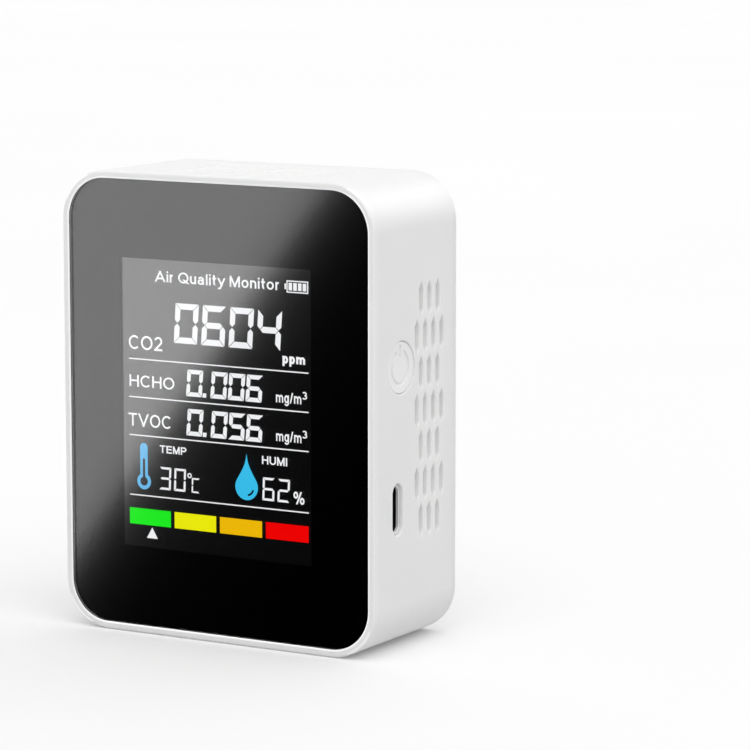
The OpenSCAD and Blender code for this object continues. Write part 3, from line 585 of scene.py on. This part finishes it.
def add_button(materials):
    """Cap with a dished, engraved face, a flange behind it and a pin that meets the switch."""
    low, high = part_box("power_button")
    centre = Vector((0, (low.y + high.y) / 2, (low.z + high.z) / 2))
    cap_r, dish_r, edge_r, symbol_depth = 4.65, 40.0, 0.18, 0.32
    face_x = high.x / MM
    dish = cap_r * cap_r / (2 * dish_r)
    spokes, rings, edge_steps = 288, 84, 5
    flange_r = (high.z - low.z) / 2 / MM
    flange_t = 0.8
    flange_back = 30.65
    flange_front = flange_back + flange_t
    corner, fillet = 0.06, 0.05
    profile = []
    for i in range(1, rings + 1):
        r = (cap_r - edge_r) * i / rings
        profile.append((r, face_x - dish + r * r / (2 * dish_r), True))
    top_x = profile[-1][1]
    for i in range(1, edge_steps + 1):
        a = TAU / 4 * i / edge_steps
        profile.append((cap_r - edge_r + edge_r * math.sin(a), top_x - edge_r * (1 - math.cos(a)), False))
    pin_r, pin_end, pin_corner = 1.6, low.x / MM, 0.1
    for r, x in (
        (cap_r, flange_front + fillet), (cap_r + fillet, flange_front),
        (flange_r - corner, flange_front), (flange_r, flange_front - corner),
        (flange_r, flange_back + corner), (flange_r - corner, flange_back),
        (pin_r + pin_corner, flange_back), (pin_r, flange_back - pin_corner),
        (pin_r, pin_end + pin_corner), (pin_r - pin_corner, pin_end),
    ):
        profile.append((r, x, False))
    bm = bmesh.new()

    def ring_of(r, x, engraved):
        ring = []
        for k in range(spokes):
            a = TAU * k / spokes
            y, z = r * math.cos(a), r * math.sin(a)
            drop = symbol_depth * groove(y, z) if engraved else 0.0
            ring.append(bm.verts.new(centre + Vector((x - drop, y, z)) * MM))
        return ring

    rows = [ring_of(*step) for step in profile]
    for a, b in zip(rows, rows[1:]):
        for k in range(spokes):
            n = (k + 1) % spokes
            bm.faces.new((a[k], a[n], b[n], b[k]))
    for row, x in ((rows[0], face_x - dish), (rows[-1], pin_end)):
        tip = bm.verts.new(centre + Vector((x, 0, 0)) * MM)
        for k in range(spokes):
            bm.faces.new((row[k], row[(k + 1) % spokes], tip))
    cap = from_bmesh("power_cap", bm)
    add_weighted_normals(cap)
    add_piece(cap, materials["button_plastic"], "button")
    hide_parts("power_button")


# ---------------------------------------------------------------- display

# The lit graphics are drawn in millimetres from the middle of the window.
WINDOW_Z = 42.32
film_low, film_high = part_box("lcd_front_polarizer")
WINDOW_X = (film_low.x + film_high.x) / 2 / MM
GRAPHICS_BACK = 1.42  # behind the front rim
GRAPHICS_T = 0.02


def flat_piece(name, outlines):
    """Flat mesh from closed outlines, in millimetres from the window's centre. Inner outlines cut holes."""
    curve = bpy.data.curves.new(name, "CURVE")
    curve.dimensions = "2D"
    curve.fill_mode = "BOTH"
    curve.extrude = GRAPHICS_T / 2
    for outline in outlines:
        spline = curve.splines.new("POLY")
        spline.points.add(len(outline) - 1)
        for point, (x, z) in zip(spline.points, outline):
            point.co = (x, z, 0, 1)
        spline.use_cyclic_u = True
    holder = new_object(name + "_outline", curve)
    mesh = bpy.data.meshes.new_from_object(holder)
    bpy.data.objects.remove(holder)
    return stand_up(name, mesh)


def stand_up(name, mesh):
    """Turns a mesh drawn flat in millimetres so that it stands on the display, facing the front."""
    y = cad_low.y + (GRAPHICS_BACK + GRAPHICS_T / 2) * MM
    for v in mesh.vertices:
        v.co = Vector(((WINDOW_X + v.co.x) * MM, y - v.co.z * MM, (WINDOW_Z + v.co.y) * MM))
    return new_object(name, mesh)


# Each letter is its width, lowest and highest point in cap heights, then its strokes inside that box.
# A stroke of four numbers is a straight bar from one point to another. A stroke of six numbers is an
# arc: its centre, its two radii, and its start and end angles in degrees.
ROUND = [(0.5, 0.5, 0.5, 0.5, 0, 180), (0.5, 0.5, 0.5, 0.5, 180, 360)]
LETTERS = {
    "A": (0.93, 0, 1, [(0, 0, 0.5, 1), (1, 0, 0.5, 1), (0.22, 0.28, 0.78, 0.28)]),
    "C": (0.87, 0, 1, [(0.54, 0.5, 0.54, 0.5, 44, 316)]),
    "E": (0.75, 0, 1, [(0, 0, 0, 1), (0, 1, 1, 1), (0, 0.52, 0.93, 0.52), (0, 0, 1, 0)]),
    "H": (0.79, 0, 1, [(0, 0, 0, 1), (1, 0, 1, 1), (0, 0.52, 1, 0.52)]),
    "I": (0.13, 0, 1, [(0.5, 0, 0.5, 1)]),
    "M": (0.93, 0, 1, [(0, 0, 0, 1), (1, 0, 1, 1), (0.5, 0, 0.04, 1), (0.5, 0, 0.96, 1)]),
    "O": (0.95, 0, 1, ROUND),
    "P": (0.77, 0, 1, [(0, 0, 0, 1), (0, 1, 0.6, 1), (0, 0.46, 0.6, 0.46), (0.6, 0.73, 0.4, 0.27, -90, 90)]),
    "Q": (0.95, 0, 1, ROUND + [(0.96, -0.02, 0.6, 0.24)]),
    "T": (0.78, 0, 1, [(0, 1, 1, 1), (0.5, 0, 0.5, 1)]),
    "U": (0.79, 0, 1, [(0, 0.38, 0, 1), (1, 0.38, 1, 1), (0.5, 0.38, 0.5, 0.38, 180, 360)]),
    "V": (0.92, 0, 1, [(0.5, 0, 0, 1), (0.5, 0, 1, 1)]),
    "a": (0.62, 0, 0.73, [
        (0.43, 0.29, 0.43, 0.29, 0, 180), (0.43, 0.29, 0.43, 0.29, 180, 360),
        (0.9, 0, 0.9, 0.66), (0.47, 0.64, 0.43, 0.36, 0, 160),
    ]),
    "g": (0.6, -0.29, 0.73, [
        (0.46, 0.66, 0.46, 0.34, 0, 180), (0.46, 0.66, 0.46, 0.34, 180, 360),
        (1, 0.24, 1, 1), (0.5, 0.24, 0.5, 0.24, 200, 360),
    ]),
    "i": (0.13, 0, 1, [(0.5, 0, 0.5, 0.68), (0.5, 1, 0.5, 1)]),
    "l": (0.13, 0, 1, [(0.5, 0, 0.5, 1)]),
    "m": (0.95, 0, 0.73, [
        (0, 0, 0, 1), (0.5, 0, 0.5, 0.6), (1, 0, 1, 0.6),
        (0.25, 0.6, 0.25, 0.4, 0, 180), (0.75, 0.6, 0.25, 0.4, 0, 180),
    ]),
    "n": (0.56, 0, 0.73, [(0, 0, 0, 1), (1, 0, 1, 0.55), (0.5, 0.55, 0.5, 0.45, 0, 180)]),
    "o": (0.64, 0, 0.73, ROUND),
    "p": (0.6, -0.29, 0.73, [
        (0, 0, 0, 1), (0.54, 0.66, 0.46, 0.34, 0, 180), (0.54, 0.66, 0.46, 0.34, 180, 360),
    ]),
    "r": (0.36, 0, 0.73, [(0, 0, 0, 1), (0.9, 0.45, 0.9, 0.55, 80, 180)]),
    "t": (0.36, 0, 0.95, [(0.4, 0.2, 0.4, 1), (0, 0.7, 1, 0.7), (1, 0.22, 0.6, 0.22, 180, 268)]),
    "u": (0.56, 0, 0.73, [(1, 0, 1, 1), (0, 0.45, 0, 1), (0.5, 0.45, 0.5, 0.45, 180, 360)]),
    "y": (0.66, -0.29, 0.73, [(0.27, 0.02, 1, 1), (0.52, 0.36, 0, 1), (0.05, 0, 0.2, 0)]),
    "2": (0.66, 0, 1, [(0.5, 0.71, 0.48, 0.29, -32, 165), (0.08, 0.03, 0.86, 0.52), (0, 0, 1, 0)]),
    "3": (0.66, 0, 1, [(0.46, 0.75, 0.46, 0.25, -90, 150), (0.46, 0.26, 0.54, 0.26, -150, 90)]),
    "/": (0.39, 0, 1, [(0, 0, 1, 1)]),
    "%": (1.12, 0, 1, [
        (0.17, 0.76, 0.17, 0.24, 0, 180), (0.17, 0.76, 0.17, 0.24, 180, 360),
        (0.83, 0.24, 0.17, 0.24, 0, 180), (0.83, 0.24, 0.17, 0.24, 180, 360), (0.3, 0, 0.7, 1),
    ]),
}
LETTER_GAP = 0.14
WORD_GAP = 0.28
ARC_STEP = math.radians(9)
STRAIGHT = 0.001  # a stroke that leans less than this is upright or level
MERGE_DISTANCE = 1e-5


def stroke_outline(stroke, box, line):
    """Outline of one stroke of a letter whose box is (width, lowest, highest), with a given line width."""
    w, low, high = box
    half = line / 2
    reach_x, reach_y = w - line, high - low - line
    x, y = half + stroke[0] * reach_x, low + half + stroke[1] * reach_y
    if len(stroke) == 6:
        rx, ry = stroke[2] * reach_x, stroke[3] * reach_y
        start, end = (math.radians(a) for a in stroke[4:])
        steps = max(6, round(abs(end - start) / ARC_STEP))
        angles = [start + (end - start) * i / steps for i in range(steps + 1)]
        outer = [(x + (rx + half) * math.cos(a), y + (ry + half) * math.sin(a)) for a in angles]
        inner = [(x + (rx - half) * math.cos(a), y + (ry - half) * math.sin(a)) for a in reversed(angles)]
        return outer + inner
    x2, y2 = half + stroke[2] * reach_x, low + half + stroke[3] * reach_y
    if min(abs(x2 - x), abs(y2 - y)) < STRAIGHT:
        return box_outline(min(x, x2) - half, min(y, y2) - half, max(x, x2) + half, max(y, y2) + half)
    lean = (x2 - x) / (y2 - y)
    wide = half * math.hypot(1, lean)
    ends = [(x - lean * half, y - half), (x2 + lean * half, y2 + half)]
    if y2 < y:
        ends = [(x + lean * half, y + half), (x2 - lean * half, y2 - half)]
    (xa, ya), (xb, yb) = sorted(ends, key=lambda end: end[1])
    return [(xa - wide, ya), (xa + wide, ya), (xb + wide, yb), (xb - wide, yb)]


def word_faces(text, line):
    """Points and triangles of a word written from x = 0 with a cap height of 1."""
    points, outlines = [], []
    x = 0.0
    for char in text:
        if char == " ":
            x += WORD_GAP
            continue
        w, low, high, strokes = LETTERS[char]
        w = max(w, line)
        for stroke in strokes:
            outline = stroke_outline(stroke, (w, low, high), line)
            outlines.append(list(range(len(points), len(points) + len(outline))))
            points += [Vector((x + px, py)) for px, py in outline]
        x += w + LETTER_GAP
    corners, _, faces, _, _, sources = delaunay_2d_cdt(points, [], outlines, 1, MERGE_DISTANCE, True)
    return corners, [face for face, source in zip(faces, sources) if source]


def words_piece(name, words):
    """One flat piece from several words; each is stretched to fill its box (x0, x1, baseline, cap line)."""
    bm = bmesh.new()
    for text, x0, x1, z0, z1, line in words:
        points, faces = word_faces(text, line)
        left = min(p.x for p in points)
        wide = max(p.x for p in points) - left
        made = [
            bm.verts.new((x0 + (p.x - left) / wide * (x1 - x0), z0 + p.y * (z1 - z0), 0))
            for p in points
        ]
        for face in faces:
            bm.faces.new([made[i] for i in face])
    bmesh.ops.delete(bm, geom=[v for v in bm.verts if not v.link_faces], context="VERTS")
    bmesh.ops.recalc_face_normals(bm, faces=bm.faces)
    grown = bmesh.ops.extrude_face_region(bm, geom=bm.faces[:], use_keep_orig=True)
    for item in grown["geom"]:
        if isinstance(item, bmesh.types.BMVert):
            item.co.z += GRAPHICS_T
    bmesh.ops.translate(bm, verts=bm.verts, vec=(0, 0, -GRAPHICS_T / 2))
    bmesh.ops.recalc_face_normals(bm, faces=bm.faces)
    mesh = bpy.data.meshes.new(name)
    bm.to_mesh(mesh)
    bm.free()
    return stand_up(name, mesh)


# The segments each shown character lights: a at the top, then b to f clockwise, g across the middle.
SEGMENTS = {
    "0": "abcdef", "2": "abged", "3": "abgcd", "4": "fgbc", "5": "afgcd", "6": "afgedc", "C": "adef",
}
POINT_PLACE = 0.2  # gap before a decimal point, and the room it takes, in line widths
POINT_ROOM = 1.9


def segment_outlines(digit, x, z, w, h, t, gap):
    """Outlines of a seven-segment digit whose lower left corner is x, z."""
    g = gap / 2
    mid = h / 2
    half = t / 2
    shapes = {
        "a": [(g, h), (w - g, h), (w - t - g, h - t), (t + g, h - t)],
        "d": [(g, 0), (w - g, 0), (w - t - g, t), (t + g, t)],
        "f": [(0, h - g), (t, h - t - g), (t, mid + half + g), (half, mid + g), (0, mid + half + g)],
        "e": [(0, g), (t, t + g), (t, mid - half - g), (half, mid - g), (0, mid - half - g)],
        "g": [
            (half + g, mid), (t + g, mid + half), (w - t - g, mid + half),
            (w - half - g, mid), (w - t - g, mid - half), (t + g, mid - half),
        ],
    }
    for left, right in (("f", "b"), ("e", "c")):
        shapes[right] = [(w - px, pz) for px, pz in shapes[left]]
    return [[(x + px, z + pz) for px, pz in shapes[s]] for s in SEGMENTS[digit]]


def number_outlines(text, x, z, w, h, t, gap, pitch):
    """Outlines of a row of digits; a point takes its own short place."""
    outlines = []
    for char in text:
        if char == ".":
            dot = x - pitch + w + POINT_PLACE * t
            outlines.append(box_outline(dot, z, dot + t, z + t))
            x += POINT_ROOM * t
        else:
            outlines += segment_outlines(char, x, z, w, h, t, gap)
            x += pitch
    return outlines


def leaning(outlines, base, lean):
    """The outlines sheared to the right above the height base."""
    return [[(x + lean * (z - base), z) for x, z in outline] for outline in outlines]


def box_outline(x0, z0, x1, z1):
    return [(x0, z0), (x1, z0), (x1, z1), (x0, z1)]


def arc_points(x, z, r, start, end, steps):
    """Points along an arc, both ends included."""
    angles = [start + (end - start) * i / steps for i in range(steps + 1)]
    return [(x + r * math.cos(a), z + r * math.sin(a)) for a in angles]


def circle_outline(x, z, r):
    return arc_points(x, z, r, 0.0, TAU, 48)[:-1]


def stem_and_bulb(x, bulb_z, bulb_r, stem_z, stem_r, stem_steps, bulb_steps):
    """Outline of a stem with a round top, centred at stem_z, that runs down into a round bulb."""
    join = math.asin(stem_r / bulb_r)
    top = arc_points(x, stem_z, stem_r, 0.0, math.pi, stem_steps)
    return top + arc_points(x, bulb_z, bulb_r, TAU / 4 + join, TAU / 4 - join + TAU, bulb_steps)


def thermometer_outlines(x, bulb_z, top_z):
    """Stem and bulb, with a dark slot in the stem that runs into a dark eye in the bulb."""
    stem_r, bulb_r = 0.83, 1.5
    slot_r, eye_r, slot_l = 0.26, 0.82, 4.0
    return [
        stem_and_bulb(x, bulb_z, bulb_r, top_z - stem_r, stem_r, 24, 48),
        stem_and_bulb(x, bulb_z, eye_r, bulb_z + slot_l, slot_r, 12, 40),
    ]


def arc_outline(x, z, r, t, start, end):
    """Thick arc with round ends."""
    steps, cap_steps = 16, 6

    def round_end(a, turned):
        centre_x, centre_z = x + r * math.cos(a), z + r * math.sin(a)
        return arc_points(centre_x, centre_z, t / 2, a + turned, a + turned + math.pi, cap_steps)[1:-1]

    outer = arc_points(x, z, r + t / 2, start, end, steps)
    inner = arc_points(x, z, r - t / 2, end, start, steps)
    return outer + round_end(end, 0.0) + inner + round_end(start, math.pi)


def bezier(a, b, c, d, t):
    return (1 - t) ** 3 * a + 3 * (1 - t) ** 2 * t * b + 3 * (1 - t) * t * t * c + t**3 * d


def drop_outlines(x, round_z, tip_z, r):
    """Water drop with a concave neck, and a short arc left dark near its lower right."""
    neck = 0.55  # angle past level at which the round part ends
    round_steps, neck_steps = 48, 20
    pull = 2.2  # how far each end of the neck's curve holds its direction
    tip_width = 0.25
    outline = arc_points(x, round_z, r, -math.pi - neck, neck, round_steps)
    right, tip = Vector(outline[-1]), Vector((x, tip_z))
    leave = right + Vector((-math.sin(neck), math.cos(neck))) * pull
    arrive = tip + Vector((tip_width, -pull))
    outline += [tuple(bezier(right, leave, arrive, tip, i / neck_steps)) for i in range(1, neck_steps + 1)]
    mirrored = [(2 * x - px, pz) for px, pz in outline[-2:round_steps:-1]]
    glint_r, glint_t, glint_start, glint_end = 0.62 * r, 0.36, -1.3, -0.4
    return [outline + mirrored, arc_outline(x, round_z, glint_r, glint_t, glint_start, glint_end)]


def battery_outlines(x0, z0, x1, z1):
    """Battery symbol lying on its side, its pole on the left, with four bars."""
    line, inset = 0.22, 0.42
    pole_l, pole_gap, pole_inset = 0.42, 0.1, 0.6
    bars, bar_gap = 4, 0.25
    shapes = [
        box_outline(x0, z0, x1, z1),
        box_outline(x0 + line, z0 + line, x1 - line, z1 - line),
        box_outline(x0 - pole_l, z0 + pole_inset, x0 - pole_gap, z1 - pole_inset),
    ]
    step = (x1 - x0 - 2 * inset + bar_gap) / bars
    for i in range(bars):
        left = x0 + inset + i * step
        shapes.append(box_outline(left, z0 + inset, left + step - bar_gap, z1 - inset))
    return shapes


def reading(text, x, z, w, h, t, gap, pitch, lean):
    """Outlines of a leaning number whose lower left corner is x, z; t is its line width."""
    return leaning(number_outlines(text, x, z, w, h, t, gap, pitch), z, lean)


def add_display():
    lit_white = lit("lit_white", (0.97, 0.98, 1.0), 0.98)
    lit_blue = lit("lit_blue", (0.155, 0.54, 0.90), 0.96)
    lit_cyan = lit("lit_cyan", (0.045, 0.58, 0.93), 0.96)
    bar_colours = {
        "green": (0.011, 0.90, 0.014), "yellow": (0.91, 0.90, 0.003),
        "orange": (0.92, 0.52, 0.002), "red": (0.92, 0.001, 0.0005),
    }
    left, right = -18.8, 19.6
    rule_heights = [8.4, 1.35, -5.7, -16.8]
    rule = 0.11  # half the width of a rule
    foot, foot_lean = -15.35, 0.04
    # a digit's width and height, then its line, gap, pitch and lean
    row_style = (3.4, 4.9, 0.78, 0.12, 3.75, 0.08)
    foot_style = (2.5, 4.2, 0.42, 0.1, 3.2, foot_lean)
    degree_x, degree_z, degree_r = -5.75, -12.25, 0.48
    pieces = {
        "lit_large_reading": reading("0604", -8.95, 11.9, 5.0, 7.3, 1.1, 0.16, 5.88, 0.065),
        "lit_formaldehyde_reading": reading("0.006", -6.4, 2.35, *row_style),
        "lit_vapour_reading": reading("0.056", -6.4, -4.85, *row_style),
        "lit_temperature": [
            *reading("30", -12.38, foot, *foot_style),
            *leaning(segment_outlines("C", -5.35, foot, 1.7, 2.75, 0.3, 0.08), foot, foot_lean),
            *(circle_outline(degree_x, degree_z, r) for r in (degree_r, degree_r / 2)),
        ],
        "lit_humidity": reading("62", 9.82, foot, *foot_style),
        "lit_rules": [box_outline(left, z - rule, right, z + rule) for z in rule_heights],
        "lit_battery_symbol": battery_outlines(15.1, 22.55, 19.6, 24.75),
        "lit_pointer": [[(-15.2, -24.65), (-12.8, -24.65), (-14.0, -22.65)]],
    }
    for name, outlines in pieces.items():
        add_piece(flat_piece(name, outlines), lit_white)
    # each word with its left, right, baseline and cap line, then its line width in cap heights
    words = [
        ("Air Quality Monitor", -13.0, 13.5, 22.85, 24.85, 0.15),
        ("CO2", -18.8, -11.4, 10.15, 12.75, 0.14),
        ("HCHO", -18.7, -8.9, 3.25, 5.45, 0.14),
        ("TVOC", -19.0, -9.8, -4.05, -1.65, 0.14),
        ("TEMP", -12.2, -6.4, -8.55, -7.15, 0.18),
        ("HUMI", 9.8, 15.1, -8.75, -7.25, 0.17),
        ("%", 16.4, 18.7, -15.45, -13.15, 0.15),
        ("ppm", 14.2, 18.9, 9.85, 11.65, 0.22),
        ("mg/m", 12.8, 18.1, 2.7, 4.6, 0.16),
        ("3", 18.3, 19.3, 3.6, 5.0, 0.17),
        ("mg/m", 12.8, 18.1, -4.3, -2.4, 0.16),
        ("3", 18.3, 19.3, -3.4, -2.0, 0.17),
    ]
    add_piece(words_piece("lit_labels", words), lit_white)
    thermometer = flat_piece("lit_thermometer", thermometer_outlines(-15.7, -14.15, -7.05))
    add_piece(thermometer, lit_blue)
    add_piece(flat_piece("lit_drop", drop_outlines(6.5, -13.25, -7.15, 2.4)), lit_cyan)
    bar_left, bar_w, bar_pitch = left - 0.1, 9.0, 9.82
    bar_low, bar_high = -22.25, -19.25
    for i, (name, colour) in enumerate(bar_colours.items()):
        x0 = bar_left + i * bar_pitch
        bar = flat_piece("lit_bar_" + name, [box_outline(x0, bar_low, x0 + bar_w, bar_high)])
        add_piece(bar, lit("lit_" + name, colour, 1.0))


def add_front(materials):
    corner_r, edge_r, back_gap = 7.58 * MM, 0.04 * MM, 0.02 * MM
    lens = rounded_plate("front_lens", "front_panel", corner_r, edge_r, back_gap)
    add_piece(lens, materials["clear_panel"])
    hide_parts("front_panel")


# ---------------------------------------------------------------- rear label


def add_label_lines():
    """Blank printed lines in place of any lettering."""
    low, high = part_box("rear_label")
    ink = moulded("label_ink", (0.06, 0.06, 0.065), rough=0.5, vary=0.15)
    bm = bmesh.new()
    side_margin, top_margin, row_pitch = 3.2 * MM, 3.6 * MM, 3.3 * MM
    ink_levels = (-0.01 * MM, 0.02 * MM)  # under and above the label's face
    value_start, name_l, line_h = 6.8, 5.5, 0.9
    left = low.x + side_margin
    z = high.z - top_margin
    # a heading and five entries, each a short name and a longer value: (start, length, height)
    rows = [[(0, 20.0, 1.5)]]
    rows += [[(0, name_l, line_h), (value_start, w, line_h)] for w in (8.5, 11.0, 7.0, 9.5, 13.0)]
    for row in rows:
        for start, length, height in row:
            outline = rounded_outline(length * MM, height * MM, height * MM * 0.49, steps=8)
            centre_x = -left - (start + length / 2) * MM
            levels = [
                [bm.verts.new((centre_x + x, high.y + proud, z + dz)) for x, dz in outline]
                for proud in ink_levels
            ]
            for i in range(len(outline)):
                j = (i + 1) % len(outline)
                bm.faces.new((levels[0][i], levels[0][j], levels[1][j], levels[1][i]))
            for level in levels:
                bm.faces.new(level)
        z -= row_pitch
    add_piece(from_bmesh("label_print", bm, smooth=False), ink)


# ---------------------------------------------------------------- stage


ROOM_LIGHT = 0.70
DOME_RADIUS = 4.0  # near enough for every view's camera to see it
FLOOR_RADIUS = 3.9
OBJECT_MIDDLE = Vector((0, 0, 0.05))


def add_world():
    """Even studio light."""
    world = bpy.data.worlds.new("studio")
    bpy.context.scene.world = world
    world.use_nodes = True
    light = world.node_tree.nodes["Background"]
    light.inputs["Color"].default_value = (1, 1, 1, 1)
    light.inputs["Strength"].default_value = ROOM_LIGHT


def only_seen(obj):
    """The object shows in pictures, but neither lights, shades nor mirrors anything."""
    obj.visible_diffuse = False
    obj.visible_glossy = False
    obj.visible_transmission = False
    obj.visible_volume_scatter = False
    obj.visible_shadow = False


def add_backdrop():
    """White dome around the scene."""
    bm = bmesh.new()
    bmesh.ops.create_icosphere(bm, subdivisions=5, radius=DOME_RADIUS)
    dome = from_bmesh("backdrop", bm)
    coat(dome, glowing("white_backdrop", 1.02)[0])
    only_seen(dome)
    dome.visible_glossy = True


def floor_disc(name, z, dark, pale, glow):
    bm = bmesh.new()
    bmesh.ops.create_circle(bm, cap_ends=True, segments=128, radius=FLOOR_RADIUS)
    disc = from_bmesh(name, bm, smooth=False)
    f = Finish(name, Specular_IOR_Level=0.0)
    f.colour(f.noise(3, 3.0), (0.3, (dark, dark, dark)), (0.7, (pale, pale, pale)))
    f.roughness(f.noise(8, 3.0), 0.85, 0.95)
    f.shader.inputs["Emission Color"].default_value = (1, 1, 1, 1)
    f.shader.inputs["Emission Strength"].default_value = glow
    coat(disc, f.material)
    disc.location.z = z
    return disc


def add_floor():
    """Pale floor; the light it throws back comes from a slightly darker one just below it."""
    only_seen(floor_disc("floor", z=-0.0001, dark=0.97, pale=0.985, glow=0.045))
    bounce = floor_disc("floor_bounce", z=-0.0004, dark=0.68, pale=0.70, glow=0.0)
    bounce.visible_camera = False
    bounce.visible_glossy = False
    bounce.visible_transmission = False


def stage_card(card, material):
    """Marks a card as part of the stage that only shows in reflections."""
    coat(card, material)
    card.visible_camera = False
    card.visible_diffuse = False
    card.visible_shadow = False
    card.visible_volume_scatter = False


def glowing(name, strength):
    material = bpy.data.materials.new(name)
    material.use_nodes = True
    tree = material.node_tree
    tree.nodes.clear()
    glow = tree.nodes.new("ShaderNodeEmission")
    glow.inputs["Strength"].default_value = strength
    output = tree.nodes.new("ShaderNodeOutputMaterial")
    tree.links.new(glow.outputs["Emission"], output.inputs["Surface"])
    return material, tree, glow


def add_glossy_card(name, centre, size, strength):
    """Softbox that faces the object and only shows in reflections."""
    centre = Vector(centre)
    aim = (OBJECT_MIDDLE - centre).normalized()
    side = aim.cross(Vector((0, 0, 1))).normalized() * size[0] / 2
    up = side.normalized().cross(aim) * size[1] / 2
    bm = bmesh.new()
    corners = ((-1, -1), (1, -1), (1, 1), (-1, 1))
    bm.faces.new([bm.verts.new(centre + a * side + b * up) for a, b in corners])
    stage_card(from_bmesh(name, bm, smooth=False), glowing(name, strength)[0])


def maths(tree, operation, *values):
    """The output of one maths node; each value is a number or another node's output."""
    node = tree.nodes.new("ShaderNodeMath")
    node.operation = operation
    for socket, value in zip(node.inputs, values):
        if isinstance(value, bpy.types.NodeSocket):
            tree.links.new(value, socket)
        else:
            socket.default_value = value
    return node.outputs["Value"]


def add_reflector():
    """Dark card in front of the display, bright towards its upper left: what the clear panel mirrors."""
    card_y, half_w, low_z, high_z = -0.4, 0.9, -0.9, 0.5
    # direction across the edge of the bright part, towards the dark side, and a point on that edge
    across_x, across_z = 0.793, -0.609
    edge_x, edge_z = -0.2150, 0.0356
    fade_width = 0.006
    bm = bmesh.new()
    corners = [(-half_w, low_z), (half_w, low_z), (half_w, high_z), (-half_w, high_z)]
    bm.faces.new([bm.verts.new((x, card_y, z)) for x, z in corners])
    card = from_bmesh("reflection_card", bm, smooth=False)
    material, tree, glow = glowing("reflection_card", 2.2)
    place = tree.nodes.new("ShaderNodeTexCoord").outputs["Object"]
    across = tree.nodes.new("ShaderNodeVectorMath")
    across.operation = "DOT_PRODUCT"
    tree.links.new(place, across.inputs[0])
    across.inputs[1].default_value = (across_x, 0, across_z)
    edge_at = across_x * edge_x + across_z * edge_z
    away = maths(tree, "SUBTRACT", across.outputs["Value"], edge_at)
    # a soft step from 1 on the bright side to 0 on the dark side: half of 1 - u / sqrt(1 + u * u)
    u = maths(tree, "DIVIDE", away, fade_width)
    root = maths(tree, "SQRT", maths(tree, "MULTIPLY_ADD", u, u, 1.0))
    level = maths(tree, "MULTIPLY_ADD", maths(tree, "DIVIDE", u, root), -0.5, 0.5)
    tree.links.new(level, glow.inputs["Color"])
    stage_card(card, material)


# ---------------------------------------------------------------- build

bpy.context.scene.view_settings.view_transform = "Standard"
add_camera()
add_world()
add_backdrop()
add_floor()
add_reflector()
add_soft_light("key_light", towards=(-0.34, 0.34, -0.88), strength=0.95, spread=60)
add_glossy_card("rear_softbox", centre=(0.35, 0.85, 0.55), size=(0.7, 0.5), strength=3.2)
materials = make_materials()
slot_of = {part["node"]: part["material_slot"] for part in frame["record"]["subparts"]}
for node_name, node_object in frame["nodes"].items():
    coat(node_object, materials[slot_of[node_name]])
add_case(materials)
add_usb_mouth(materials)
add_button(materials)
add_front(materials)
add_display()
add_label_lines()
